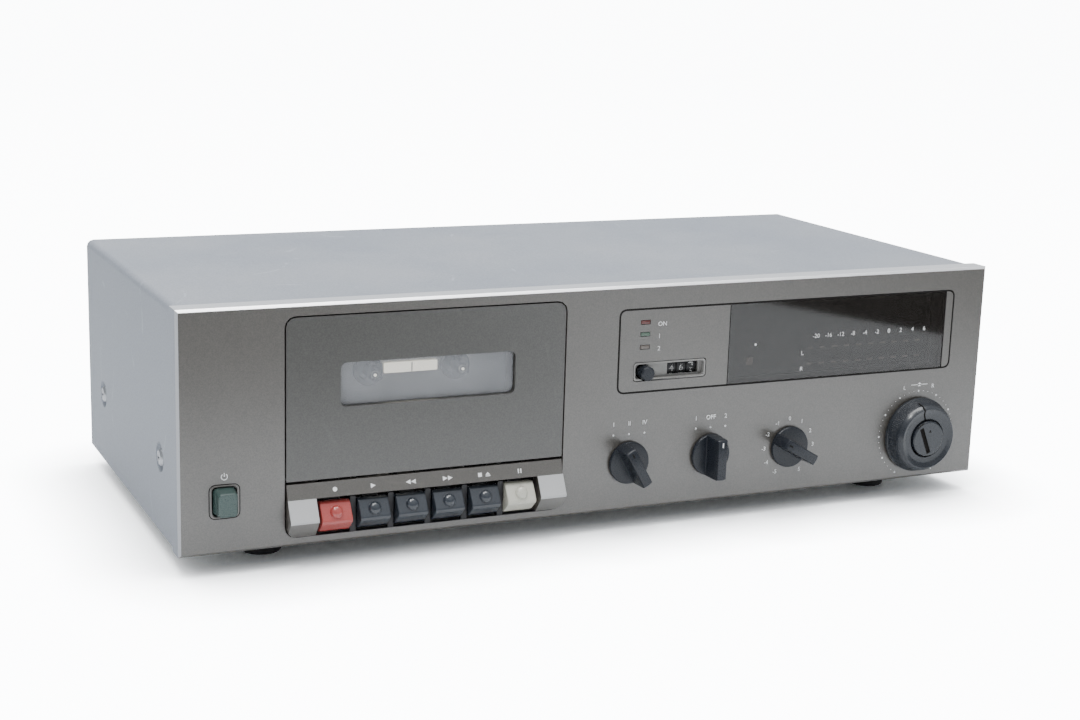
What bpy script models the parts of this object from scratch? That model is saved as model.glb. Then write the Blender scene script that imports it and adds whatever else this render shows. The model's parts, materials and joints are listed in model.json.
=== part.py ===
"""Front-loading cassette deck, one object for each piece, in metres.

+X is the deck's right as seen from the front, +Y its back and +Z up. The world origin is the bottom
centre of the whole deck, from knob tips to socket ends. Every piece is written in the fascia's own
frame, whose origin is the middle of the fascia's bottom front edge: the empty fascia_datum carries
that frame, and all pieces are its children.
"""

import math

import bmesh
import bpy
from mathutils import Matrix, Vector

MM = 0.001

# Driving dimensions
DECK_WIDTH = 420 * MM
FASCIA_HEIGHT = 109 * MM
CASE_DEPTH = 195 * MM
FOOT_REACH = 10 * MM
KNOB_REACH = 13 * MM
SOCKET_REACH = 8 * MM
GAP = 0.3 * MM
SHEET = 1.2 * MM
OVERRUN = 2 * MM

# Round work
ROUND = 16
FINE_ROUND = 24
CORNER_STEPS = 3
SHARP_ANGLE = math.radians(35)

# Fascia: a tray with its walls turned back
FASCIA_WALL = 3 * MM
FASCIA_RETURN = 11 * MM
FASCIA_BEVEL = 1.2 * MM

# Cassette bay and door
BAY_X = -DECK_WIDTH / 2 + 114.7 * MM
BAY_WIDTH = 134.7 * MM
BAY_FLOOR = 3.9 * MM
DOOR_BOTTOM = 29.6 * MM
DOOR_TOP = 103 * MM
DOOR_GAP = 0.7 * MM
DOOR_CORNER = 4.3 * MM
DOOR_THICKNESS = 3 * MM
DOOR_PIVOT_Y = 2 * MM
DOOR_PIVOT_Z = 31 * MM
DOOR_PIN_RADIUS = 1 * MM
DOOR_PIN_REACH = 2 * MM
WINDOW_WIDTH = 83.7 * MM
WINDOW_BOTTOM = 61.8 * MM
WINDOW_HEIGHT = 19.9 * MM
WINDOW_CORNER = 2.7 * MM
WINDOW_RECESS = 2.3 * MM
WINDOW_SHEET = 1.5 * MM
WINDOW_RIM = 3.3 * MM

# Cassette holder: a plate with a channel at each side, round the space of one cassette
CASSETTE_WIDTH = 100.4 * MM
CASSETTE_BOTTOM = 36.9 * MM
CASSETTE_FRONT = 9.5 * MM
CASSETTE_THICKNESS = 12 * MM
CASSETTE_PLAY = 0.6 * MM
HOLDER_SHEET = 1.2 * MM
HOLDER_FRONT = 5.2 * MM
HOLDER_TOP = 90 * MM
HOLDER_LIP = 4 * MM
HOLDER_FOOT = 8 * MM
HOLDER_WINDOW_MARGIN = 2 * MM

# Keys and their bezel
KEY_NAMES = ("record_key", "play_key", "rewind_key", "forward_key", "stop_open_key", "pause_key")
KEY_PITCH = 17.9 * MM
KEY_WIDTH = 14.3 * MM
KEY_SLOT = 15.1 * MM
KEY_TOP = 19.3 * MM
KEY_TOP_REACH = 1 * MM
KEY_EDGE = 10.9 * MM
KEY_EDGE_REACH = 6.2 * MM
KEY_BOTTOM = 5.1 * MM
KEY_BOTTOM_DEPTH = 0.3 * MM
KEY_BACK = 3.2 * MM
KEY_DOME_RADIUS = 3 * MM
KEY_DOME_HEIGHT = 2.4 * MM
KEY_ARM_WIDTH = 8 * MM
KEY_ARM_DROP = 6 * MM
KEY_BOSS_RADIUS = 4 * MM
KEY_BOSS_START = math.radians(-90)
KEY_BOSS_SWEEP = math.radians(225)
SHAFT_Y = 8 * MM
SHAFT_Z = 23.5 * MM
SHAFT_RADIUS = 2 * MM
TOOTH_TOP = 20.4 * MM
STRIP_TOP = 28.3 * MM
STRIP_BOTTOM = 21.7 * MM
STRIP_REACH = 2.2 * MM
STRIP_THICKNESS = 1.8 * MM
CHEEK_GAP = 1.25 * MM
CHEEK_EDGE = 12.8 * MM
CHEEK_EDGE_REACH = 7 * MM
CHEEK_BOTTOM = 4.4 * MM
CHEEK_BOTTOM_REACH = 1 * MM
CHEEK_CORNER = 4 * MM
EAR_BOTTOM = 19 * MM

# Power button and switch
POWER_X = -DECK_WIDTH / 2 + 20.4 * MM
POWER_Z = 23.8 * MM
POWER_SLOT_WIDTH = 11 * MM
POWER_SLOT_HEIGHT = 13.3 * MM
POWER_CORNER = 2 * MM
POWER_FACE_WIDTH = 8.3 * MM
POWER_FACE_HEIGHT = 10.5 * MM
POWER_FACE_REACH = 6.7 * MM
POWER_CLEARANCE = 0.5 * MM
POWER_TRAVEL = 3.5 * MM
POWER_FLANGE = 1 * MM
POWER_STEM = 6 * MM
POWER_STEM_END = 20 * MM
SWITCH_WIDTH = 15 * MM
SWITCH_DEPTH = 24 * MM
SWITCH_EAR = 4 * MM

# Knobs
KNOB_Z = 23.5 * MM
SELECTOR_X = (6.5 * MM, 51.1 * MM, 96.3 * MM)
SELECTOR_NAMES = ("tape_selector_knob", "noise_filter_knob", "play_trim_knob")
SELECTOR_POINTERS = (-30, 0, -60)
SELECTOR_RADIUS = 10.35 * MM
SELECTOR_DISC = 1.6 * MM
SELECTOR_GRIP = 5.6 * MM
SELECTOR_SHAFT_RADIUS = 3 * MM
KNOB_LIFT = 0.6 * MM
KNOB_SHAFT_END = 17 * MM
LEVEL_X = DECK_WIDTH / 2 - 36.9 * MM
LEVEL_SKIRT_RADIUS = 19.25 * MM
LEVEL_FRONT_RADIUS = 16 * MM
LEVEL_LIP_RADIUS = 13.5 * MM
LEVEL_REACH = 11 * MM
LEVEL_WELL_RADIUS = 9.75 * MM
LEVEL_WELL_DEPTH = 6 * MM
LEVEL_TUBE_RADIUS = 3.3 * MM
BALANCE_RADIUS = 9.25 * MM
BALANCE_REACH = 11.4 * MM
BALANCE_SHAFT_RADIUS = 2 * MM
BALANCE_SLOT = 2.2 * MM
BALANCE_SLOT_DEPTH = 1 * MM

# Control board behind the knobs
POT_SIZE = 17 * MM
POT_DEPTH = 11 * MM
BUSH_RADIUS = 4.5 * MM
BUSH_FRONT = 4 * MM
BOARD = 1.6 * MM
CONTROL_BOARD_LOW = 6 * MM
CONTROL_BOARD_HIGH = 46 * MM
BOARD_MARGIN = 5 * MM

# Display insert, its window and the meter board
DISPLAY_LEFT = -1 * MM
DISPLAY_RIGHT = DECK_WIDTH / 2 - 19 * MM
DISPLAY_BOTTOM = 57.1 * MM
DISPLAY_TOP = 98 * MM
DISPLAY_CORNER = 4 * MM
DISPLAY_GAP = 0.4 * MM
DISPLAY_SHEET = 1.5 * MM
DISPLAY_FLANGE = 2.4 * MM
METER_LEFT = 58.8 * MM
METER_RIGHT = DISPLAY_RIGHT - 5.4 * MM
METER_RIM = 5 * MM
LAMP_X = 13 * MM
LAMP_WIDTH = 5.2 * MM
LAMP_HEIGHT = 2.2 * MM
LAMP_ROWS = (91.2 * MM, 85.4 * MM, 79.2 * MM)
BAR_LEFT = 106 * MM
BAR_RIGHT = 173 * MM
BAR_ROWS = (71.8 * MM, 63.8 * MM)
BAR_HEIGHT = 4 * MM
BAR_FRONT = 5.5 * MM
RECORD_LAMP_X = 74 * MM
RECORD_LAMP_Z = 67.4 * MM
RECORD_LAMP_SIZE = 4 * MM

# Tape counter
COUNTER_LEFT = 7.4 * MM
COUNTER_RIGHT = 46.8 * MM
COUNTER_BOTTOM = 62.6 * MM
COUNTER_TOP = 72 * MM
COUNTER_CORNER = 1.5 * MM
COUNTER_DEPTH = 2.8 * MM
COUNTER_FLOOR = 0.8 * MM
COUNTER_WALL = 0.9 * MM
DIGIT_PITCH = 5.4 * MM
DIGIT_WIDTH = 5 * MM
DIGIT_X = 35.4 * MM
DIGIT_HEIGHT = 5.5 * MM
DIGIT_NAMES = ("counter_wheel_hundreds", "counter_wheel_tens", "counter_wheel_units")
WHEEL_RADIUS = 7.5 * MM
AXLE_RADIUS = 1 * MM
WHEEL_BORE = 1.4 * MM
COUNTER_SIDE = 1.4 * MM
COUNTER_SIDE_HEIGHT = 12 * MM
COUNTER_SIDE_END = 24 * MM
COUNTER_ARM = 3 * MM
COUNTER_ARM_HEIGHT = 7 * MM
RESET_X = 13.8 * MM
RESET_Z = 66.8 * MM
RESET_RADIUS = 3.5 * MM
RESET_REACH = 3.7 * MM
RESET_COLLAR = 1.2 * MM
RESET_END = 12 * MM

# Counter drive
COUNTER_PULLEY_X = 3.5 * MM
COUNTER_PULLEY_RADIUS = 7 * MM
COUNTER_BELT_Y = 31 * MM
COUNTER_BELT = 1.6 * MM
PULLEY_WIDTH = 4 * MM
PULLEY_GROOVE = 1 * MM
SMALL_SHAFT = 1.2 * MM
RUNNING = 0.4 * MM

# Tape transport
REEL_SPACING = 42.5 * MM
REEL_Z = 71.8 * MM
PLATE_Y = 24.5 * MM
PLATE_THICKNESS = 1.6 * MM
PLATE_BOTTOM = 6 * MM
PLATE_TOP = 104 * MM
SPINDLE_TIP = 13.3 * MM
SPINDLE_RADIUS = 3 * MM
SPINDLE_WING = 1.6 * MM
SPINDLE_COLLAR = 7 * MM
SPINDLE_SHAFT = 1.7 * MM
REEL_PULLEY_RADIUS = 10 * MM
REFLECTOR_WIDTH = 26.7 * MM
REFLECTOR_BOTTOM = 69.7 * MM
REFLECTOR_HEIGHT = 5.5 * MM
CAPSTAN_OFFSET = 28.5 * MM
CAPSTAN_Z = 46.2 * MM
CAPSTAN_FRONT = 11 * MM
BEARING_RADIUS = 4.5 * MM
BEARING_FRONT = 22 * MM
BEARING_END = 33 * MM
FLYWHEEL_RADIUS = 30 * MM
FLYWHEEL_Y = 35 * MM
FLYWHEEL_WIDTH = 6 * MM
BRACKET_Y = 44.5 * MM
BRACKET_MARGIN = 6 * MM
POST_RADIUS = 3 * MM
MOTOR_X = BAY_X - 34.7 * MM
MOTOR_Z = 40 * MM
MOTOR_RADIUS = 18 * MM
MOTOR_LENGTH = 26 * MM
MOTOR_BOSS = 4 * MM
MOTOR_PULLEY_RADIUS = 5 * MM
MOTOR_SHAFT_DEPTH = 10 * MM
DRIVE_BELT = 0.8 * MM
DRIVE_BELT_WIDTH = 3 * MM
TAPE_Y = CASSETTE_FRONT + CASSETTE_THICKNESS / 2

# Pinch arm, pinch roller, head bridge and heads
PINCH_PIVOT_OFFSET = 49.3 * MM
PINCH_PIVOT_Z = 27 * MM
PINCH_PIN = 2 * MM
PINCH_BOSS = 4.4 * MM
PINCH_ARM_FRONT = 19.2 * MM
PINCH_ARM_THICKNESS = 2.2 * MM
ROLLER_Z = 29 * MM
ROLLER_RADIUS = 6.5 * MM
ROLLER_WIDTH = 6 * MM
BRIDGE_LEFT = 29.7 * MM
BRIDGE_RIGHT = 17.3 * MM
BRIDGE_BOTTOM = 14 * MM
BRIDGE_TOP = 28 * MM
BRIDGE_Y = 20.5 * MM
BRIDGE_THICKNESS = 1.5 * MM
BRIDGE_PAD = 5 * MM
HEAD_FRONT = 12.6 * MM
HEAD_WIDTH = 13 * MM
HEAD_BOTTOM = 20 * MM
HEAD_TOP = 35.5 * MM
ERASE_OFFSET = 17 * MM
ERASE_WIDTH = 8 * MM
ERASE_TOP = 34 * MM

# Subchassis, pan, rear panel and feet
SUBCHASSIS_Y = 8.3 * MM
SUBCHASSIS_SHEET = 1.5 * MM
SUBCHASSIS_SILL = 16 * MM
SUBCHASSIS_HEAD = 4.2 * MM
PAN_BOTTOM = 1 * MM
PAN_SIDE = 46 * MM
PAN_FRONT = 12 * MM
COVER_INSET = 1 * MM
COVER_DROP = 0.3 * MM
COVER_BEND = 3.5 * MM
COVER_BOTTOM = 0.5 * MM
SCREW_PLACES = (37 * MM, CASE_DEPTH - 35 * MM)
SCREW_Z = 35.5 * MM
DIMPLE_RADIUS = 7 * MM
DIMPLE_FLOOR = 5.4 * MM
DIMPLE_DEPTH = 1.6 * MM
SCREW_HEAD = 4.25 * MM
SCREW_HEAD_HEIGHT = 2.1 * MM
SCREW_SHANK = 2 * MM
SCREW_LENGTH = 9 * MM
FOOT_X = DECK_WIDTH / 2 - 45 * MM
FOOT_PLACES = (30 * MM, CASE_DEPTH - 27 * MM)
FOOT_RADIUS = 10 * MM
FOOT_TAPER = 1.2 * MM
FOOT_STUD = 2 * MM
FOOT_HOLLOW = 4 * MM
REAR_DROP = 0.5 * MM

# Rear connections and power supply
JACK_X = DECK_WIDTH / 2 - 80 * MM
JACK_Z = 38 * MM
JACK_PITCH = 16 * MM
JACK_BLOCK = 40 * MM
JACK_BLOCK_DEPTH = 12 * MM
JACK_BARREL = 4.15 * MM
JACK_BORE = 1.7 * MM
GLAND_X = -DECK_WIDTH / 2 + 60 * MM
GLAND_Z = 28 * MM
GLAND_NECK = 6 * MM
GLAND_FLANGE = 9 * MM
GLAND_BORE = 3.5 * MM
GLAND_LIP = 2.6 * MM
TRANSFORMER_X = -DECK_WIDTH / 2 + 48 * MM
TRANSFORMER_Y = CASE_DEPTH - 60 * MM
TRANSFORMER_WIDTH = 52 * MM
TRANSFORMER_DEPTH = 34 * MM
TRANSFORMER_HEIGHT = 44 * MM
WINDING_DEPTH = 50 * MM
WINDING_SIZE = 28 * MM
MAIN_BOARD_LEFT = -DECK_WIDTH / 2 + 90 * MM
MAIN_BOARD_RIGHT = DECK_WIDTH / 2 - 20 * MM
MAIN_BOARD_FRONT = 82 * MM
MAIN_BOARD_BACK = CASE_DEPTH - 18 * MM
MAIN_BOARD_Z = 9 * MM
LEG_RADIUS = 3 * MM
LEG_INSET = 8 * MM
# Each tall part on the board: its place across and along the board, its radius as a share of the
# controls' size, and its height as a share of the transformer's
CAPACITOR_SHARES = ((0.08, 0.3, 0.6, 0.8), (0.16, 0.62, 0.6, 0.8), (0.3, 0.25, 0.35, 0.45),
                    (0.42, 0.6, 0.3, 0.4), (0.58, 0.3, 0.35, 0.5), (0.75, 0.25, 0.3, 0.4))
HEAT_SINK_SHARE = 0.22


# The scene starts empty, with one empty that carries the fascia's frame
for leftover in list(bpy.data.objects):
    bpy.data.objects.remove(leftover, do_unlink=True)
FRONT_Y = -(CASE_DEPTH + SOCKET_REACH - KNOB_REACH) / 2
datum = bpy.data.objects.new("fascia_datum", None)
datum.location = (0, FRONT_Y, FOOT_REACH)
bpy.context.scene.collection.objects.link(datum)


# Shapes: each function returns a closed mesh in the fascia's frame
def mesh_of(bm):
    """A mesh with outward faces, smooth except along its sharp edges."""
    bmesh.ops.recalc_face_normals(bm, faces=bm.faces)
    mesh = bpy.data.meshes.new("shape")
    bm.to_mesh(mesh)
    bm.free()
    mesh.shade_smooth()
    mesh.set_sharp_from_angle(angle=SHARP_ANGLE)
    return mesh


def lifted(u, v, along, axis):
    """The point of an outline that lies square to the axis: 0 is X, 1 is Y and 2 is Z."""
    return ((along, u, v), (u, along, v), (u, v, along))[axis]


def loft(layers, axis=1):
    """A solid through outlines of equal length. Each layer is an outline and its place on the axis."""
    bm = bmesh.new()
    rings = []
    for outline, along in layers:
        rings.append([bm.verts.new(lifted(u, v, along, axis)) for u, v in outline])
    for near, far in zip(rings, rings[1:]):
        for i in range(len(near)):
            j = (i + 1) % len(near)
            bm.faces.new((near[i], near[j], far[j], far[i]))
    bm.faces.new(rings[0])
    bm.faces.new(rings[-1])
    return mesh_of(bm)


def prism(outline, low, high, axis=1):
    return loft([(outline, low), (outline, high)], axis)


def rectangle(left, right, low, high):
    return [(left, low), (right, low), (right, high), (left, high)]


def rounded(left, right, low, high, radius, steps=CORNER_STEPS):
    """A rectangle with round corners, each a quarter circle of a few steps."""
    corners = (
        (right - radius, high - radius, 0),
        (left + radius, high - radius, 1),
        (left + radius, low + radius, 2),
        (right - radius, low + radius, 3),
    )
    points = []
    for x, z, quarter in corners:
        for step in range(steps + 1):
            angle = (quarter + step / steps) * math.pi / 2
            points.append((x + radius * math.cos(angle), z + radius * math.sin(angle)))
    return points


def box(left, right, front, back, low, high):
    return prism(rectangle(left, right, low, high), front, back)


def turned(profile, centre, axis=1, segments=ROUND):
    """A profile of (radius, place on the axis) turned about the axis through centre.

    It closes on the axis where a radius is zero. A profile without a zero is a closed ring.
    """
    bm = bmesh.new()
    rings = []
    for radius, along in profile:
        ring = []
        for k in range(segments if radius else 1):
            angle = math.tau * k / segments
            u = centre[0] + radius * math.cos(angle)
            v = centre[1] + radius * math.sin(angle)
            ring.append(bm.verts.new(lifted(u, v, along, axis)))
        rings.append(ring)
    if profile[0][0] and profile[-1][0]:
        rings.append(rings[0])
    for near, far in zip(rings, rings[1:]):
        for k in range(segments):
            j = (k + 1) % segments
            corners = [near[k % len(near)], near[j % len(near)], far[j % len(far)], far[k % len(far)]]
            corners = list(dict.fromkeys(corners))
            if len(corners) > 2:
                bm.faces.new(corners)
    return mesh_of(bm)


def cylinder(radius, low, high, centre, axis=1, segments=ROUND):
    return turned([(0, low), (radius, low), (radius, high), (0, high)], centre, axis, segments)


def ring(bore, radius, low, high, centre, axis=1, segments=ROUND):
    profile = [(bore, low), (radius, low), (radius, high), (bore, high)]
    return turned(profile, centre, axis, segments)


def spun(mesh, degrees, x, z):
    """The mesh turned clockwise, as seen from the front, about the line along Y through x, z."""
    turn = Matrix.Rotation(math.radians(degrees), 4, "Y")
    mesh.transform(Matrix.Translation((x, 0, z)) @ turn @ Matrix.Translation((-x, 0, -z)))
    return mesh


def belt_outline(left, left_radius, right, right_radius):
    """The closed path of a belt round two wheels: two arcs, drawn outside their circles, and tangents."""
    span = (Vector(right) - Vector(left)).length
    course = math.atan2(right[1] - left[1], right[0] - left[0])
    lean = math.acos((left_radius - right_radius) / span)
    points = []
    arcs = (
        (right, right_radius, course - lean, course + lean),
        (left, left_radius, course + lean, course - lean + math.tau),
    )
    steps = FINE_ROUND // 2
    for centre, radius, start, end in arcs:
        reach = radius / math.cos((end - start) / steps / 2)
        for step in range(steps + 1):
            angle = start + (end - start) * step / steps
            points.append((centre[0] + reach * math.cos(angle), centre[1] + reach * math.sin(angle)))
    return points


# Pieces: a base shape, what is joined to it and what is cut from it
def helper(mesh, name):
    """A hidden object that a Boolean reads."""
    tool = bpy.data.objects.new(name, mesh)
    tool.parent = datum
    tool.hide_render = True
    tool.display_type = "WIRE"
    bpy.context.scene.collection.objects.link(tool)
    return tool


def piece(name, base, material, joins=(), common=(), cuts=(), adds=(), pivot=(0, 0, 0)):
    """One named solid: the base with its joins, cut, and then with what is added last.

    Its origin is at pivot, which is on the joint's axis where the piece moves.
    """
    base.transform(Matrix.Translation(-Vector(pivot)))
    solid = bpy.data.objects.new(name, base)
    solid.parent = datum
    solid.location = pivot
    solid.data.materials.append(material)
    bpy.context.scene.collection.objects.link(solid)
    steps = (("join", "UNION", joins), ("common", "INTERSECT", common),
             ("cut", "DIFFERENCE", cuts), ("add", "UNION", adds))
    for step, operation, shapes in steps:
        for number, shape in enumerate(shapes):
            boolean = solid.modifiers.new(f"{step}_{number}", "BOOLEAN")
            boolean.operation = operation
            boolean.object = helper(shape, f"{name}_{step}_{number}")
    return solid


# Finishes
def finish(name, colour, roughness, metallic=0):
    material = bpy.data.materials.new(name)
    material.use_nodes = True
    shader = material.node_tree.nodes["Principled BSDF"]
    shader.inputs["Base Color"].default_value = (*colour, 1)
    shader.inputs["Roughness"].default_value = roughness
    shader.inputs["Metallic"].default_value = metallic
    return material


def fascia_paint():
    return finish("fascia_paint", (0.15, 0.145, 0.135), 0.45, 0.3)


def cover_paint():
    return finish("cover_paint", (0.16, 0.165, 0.17), 0.6)


def key_plastic():
    return finish("key_plastic", (0.055, 0.065, 0.08), 0.3)


def red_plastic():
    return finish("red_plastic", (0.4, 0.08, 0.07), 0.35)


def beige_plastic():
    return finish("beige_plastic", (0.44, 0.4, 0.29), 0.4)


def green_plastic():
    return finish("green_plastic", (0.09, 0.17, 0.13), 0.4)


def knob_plastic():
    return finish("knob_plastic", (0.05, 0.055, 0.065), 0.45)


def dark_plastic():
    return finish("dark_plastic", (0.02, 0.02, 0.022), 0.5)


def pale_plastic():
    return finish("pale_plastic", (0.7, 0.68, 0.6), 0.5)


def smoked_plastic():
    return finish("smoked_plastic", (0.03, 0.028, 0.026), 0.12)


def plated_steel():
    return finish("plated_steel", (0.6, 0.6, 0.58), 0.35, 1)


def bright_steel():
    return finish("bright_steel", (0.75, 0.75, 0.75), 0.2, 1)


def cast_brass():
    return finish("cast_brass", (0.6, 0.45, 0.2), 0.35, 1)


def rubber():
    return finish("rubber", (0.015, 0.015, 0.015), 0.8)


def board_laminate():
    return finish("board_laminate", (0.25, 0.17, 0.07), 0.6)


FASCIA = fascia_paint()
COVER = cover_paint()
KEY_BLACK = key_plastic()
KEY_RED = red_plastic()
KEY_BEIGE = beige_plastic()
POWER_GREEN = green_plastic()
KNOB = knob_plastic()
DARK = dark_plastic()
PALE = pale_plastic()
SMOKED = smoked_plastic()
PLATED = plated_steel()
BRIGHT = bright_steel()
BRASS = cast_brass()
RUBBER = rubber()
BOARD_BROWN = board_laminate()

# Places that several pieces share
HALF_WIDTH = DECK_WIDTH / 2
BAY_LEFT = BAY_X - BAY_WIDTH / 2
BAY_RIGHT = BAY_X + BAY_WIDTH / 2
DOOR_LEFT = BAY_LEFT + DOOR_GAP
DOOR_RIGHT = BAY_RIGHT - DOOR_GAP
WINDOW_LEFT = BAY_X - WINDOW_WIDTH / 2
WINDOW_RIGHT = BAY_X + WINDOW_WIDTH / 2
WINDOW_TOP = WINDOW_BOTTOM + WINDOW_HEIGHT
DISPLAY_HOLE = (DISPLAY_LEFT, DISPLAY_RIGHT, DISPLAY_BOTTOM, DISPLAY_TOP)
SUPPLY_X = BAY_X - REEL_SPACING / 2
TAKEUP_X = BAY_X + REEL_SPACING / 2
CAPSTAN_X = BAY_X + CAPSTAN_OFFSET
PLATE_LEFT = BAY_LEFT - DOOR_GAP / 2
PLATE_RIGHT = BAY_RIGHT + DOOR_GAP / 2
PLATE_BACK = PLATE_Y + PLATE_THICKNESS
SIDE_LEFT = PLATE_LEFT - GAP
SIDE_RIGHT = PLATE_RIGHT + GAP
SUBCHASSIS_BACK = SUBCHASSIS_Y + SUBCHASSIS_SHEET
COVER_OUT = HALF_WIDTH - COVER_INSET
COVER_TOP = FASCIA_HEIGHT - COVER_DROP
REAR_TOP = COVER_TOP - SHEET - REAR_DROP
CASE_FRONT = FASCIA_RETURN + GAP
PAN_OUT = COVER_OUT - SHEET - DIMPLE_DEPTH - GAP
PAN_BACK = CASE_DEPTH - SHEET - GAP
PAN_TOP = PAN_BOTTOM + SHEET
FLOOR = PAN_TOP + GAP
KNOB_PLACES = (*SELECTOR_X, LEVEL_X)
SHAFT_BORE = SHAFT_RADIUS + GAP
KEY_X = [BAY_X + (i - (len(KEY_NAMES) - 1) / 2) * KEY_PITCH for i in range(len(KEY_NAMES))]
CHEEK_WIDTH = DOOR_RIGHT - KEY_X[-1] - KEY_SLOT / 2 - CHEEK_GAP
WHEEL_Y = COUNTER_DEPTH + COUNTER_FLOOR + RUNNING + WHEEL_RADIUS
WHEEL_Z = (COUNTER_BOTTOM + COUNTER_TOP) / 2


# Case
def front_panel():
    front = rectangle(-HALF_WIDTH + FASCIA_BEVEL, HALF_WIDTH - FASCIA_BEVEL,
                      FASCIA_BEVEL, FASCIA_HEIGHT - FASCIA_BEVEL)
    full = rectangle(-HALF_WIDTH, HALF_WIDTH, 0, FASCIA_HEIGHT)
    tray = loft([(front, 0), (full, FASCIA_BEVEL), (full, FASCIA_RETURN)])
    hollow = box(-HALF_WIDTH + FASCIA_WALL, HALF_WIDTH - FASCIA_WALL, FASCIA_WALL,
                 FASCIA_RETURN + OVERRUN, FASCIA_WALL, FASCIA_HEIGHT - FASCIA_WALL)
    corner = DOOR_CORNER + DOOR_GAP
    bay = prism(rounded(BAY_LEFT, BAY_RIGHT, BAY_FLOOR, DOOR_TOP + DOOR_GAP, corner),
                -OVERRUN, FASCIA_WALL + OVERRUN)
    display = prism(rounded(*DISPLAY_HOLE, DISPLAY_CORNER), -OVERRUN, FASCIA_WALL + OVERRUN)
    power = prism(power_outline(POWER_SLOT_WIDTH, POWER_SLOT_HEIGHT), -OVERRUN, FASCIA_WALL + OVERRUN)
    holes = [cylinder(LEVEL_TUBE_RADIUS + GAP, -OVERRUN, FASCIA_WALL + OVERRUN, (x, KNOB_Z))
             for x in KNOB_PLACES]
    notches = []
    for edge, way in ((BAY_LEFT, -1), (BAY_RIGHT, 1)):
        ends = sorted((edge - way * OVERRUN, edge + way * (DOOR_PIN_REACH - DOOR_GAP + GAP)))
        pin = DOOR_PIN_RADIUS + GAP
        notches.append(box(*ends, DOOR_PIVOT_Y - pin, FASCIA_WALL + OVERRUN,
                           DOOR_PIVOT_Z - pin, DOOR_PIVOT_Z + pin))
    piece("front_panel", tray, FASCIA, cuts=[hollow, bay, display, power, *holes, *notches],
          adds=fascia_teeth())


def fascia_teeth():
    """The dividers between the keys, which stand on the fascia's bottom rail."""
    width = KEY_PITCH - KEY_SLOT
    teeth = []
    for left_key, right_key in zip(KEY_X, KEY_X[1:]):
        middle = (left_key + right_key) / 2
        outline = rounded(middle - width / 2, middle + width / 2, BAY_FLOOR - FASCIA_BEVEL,
                          TOOTH_TOP, width / 4)
        teeth.append(prism(outline, FASCIA_BEVEL / 4, FASCIA_WALL))
    return teeth


def power_outline(width, height, corner=POWER_CORNER):
    return rounded(POWER_X - width / 2, POWER_X + width / 2, POWER_Z - height / 2,
                   POWER_Z + height / 2, corner)


def front_subchassis():
    inner = HALF_WIDTH - FASCIA_WALL - GAP
    plate = box(-inner, inner, SUBCHASSIS_Y, SUBCHASSIS_BACK, FASCIA_WALL + GAP,
                FASCIA_HEIGHT - FASCIA_WALL - GAP)
    head = FASCIA_HEIGHT - FASCIA_WALL - GAP - SUBCHASSIS_HEAD
    sides = [box(SIDE_LEFT - SUBCHASSIS_SHEET, SIDE_LEFT, SUBCHASSIS_Y, PLATE_BACK,
                 SUBCHASSIS_SILL, head),
             box(SIDE_RIGHT, SIDE_RIGHT + SUBCHASSIS_SHEET, SUBCHASSIS_Y, PLATE_BACK,
                 SUBCHASSIS_SILL, head)]
    front, back = SUBCHASSIS_Y - OVERRUN, SUBCHASSIS_BACK + OVERRUN
    bay = box(SIDE_LEFT, SIDE_RIGHT, front, PLATE_BACK + OVERRUN, SUBCHASSIS_SILL, head)
    display = box(DISPLAY_LEFT - METER_RIM / 2, DISPLAY_RIGHT + METER_RIM / 2, front, back,
                  DISPLAY_BOTTOM - METER_RIM / 2, DISPLAY_TOP + METER_RIM / 2)
    stem = POWER_STEM / 2 + GAP + RUNNING
    power = box(POWER_X - stem, POWER_X + stem, front, back, POWER_Z - stem, POWER_Z + stem)
    bushes = [cylinder(BUSH_RADIUS + RUNNING, front, back, (x, KNOB_Z)) for x in KNOB_PLACES]
    piece("front_subchassis", plate, PLATED, joins=sides, cuts=[bay, display, power, *bushes])


def cover_path(inset):
    """The cover's cross-section line, from the left foot up over the top and down again."""
    out = COVER_OUT - inset
    top = COVER_TOP - inset
    bend = COVER_BEND - inset
    points = [(-out, COVER_BOTTOM)]
    for centre, start in ((-out + bend, math.pi), (out - bend, math.pi / 2)):
        for step in range(CORNER_STEPS + 1):
            angle = start - step / CORNER_STEPS * math.pi / 2
            points.append((centre + bend * math.cos(angle), top - bend + bend * math.sin(angle)))
    points.append((out, COVER_BOTTOM))
    return points


def top_cover():
    """Bent sheet, open below, with a pressed dimple round each screw."""
    shell = prism(cover_path(0) + cover_path(SHEET)[::-1], CASE_FRONT, CASE_DEPTH)
    joins, cuts = [], []
    for way in (-1, 1):
        for place in SCREW_PLACES:
            centre = (place, SCREW_Z)
            face, floor = way * COVER_OUT, way * (COVER_OUT - DIMPLE_DEPTH)
            back = floor - way * SHEET
            joins.append(turned([(0, face - way * SHEET / 3), (DIMPLE_RADIUS + SHEET, face - way * SHEET / 3),
                                 (DIMPLE_FLOOR + SHEET, back), (0, back)], centre, 0))
            flare = (DIMPLE_RADIUS - DIMPLE_FLOOR) * OVERRUN / DIMPLE_DEPTH
            hole, through = SCREW_SHANK + GAP, back - way * OVERRUN
            cuts.append(turned([(0, face + way * OVERRUN), (DIMPLE_RADIUS + flare, face + way * OVERRUN),
                                (DIMPLE_FLOOR, floor), (hole, floor), (hole, through), (0, through)],
                               centre, 0))
    piece("top_cover", shell, COVER, joins=joins, cuts=cuts)


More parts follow.
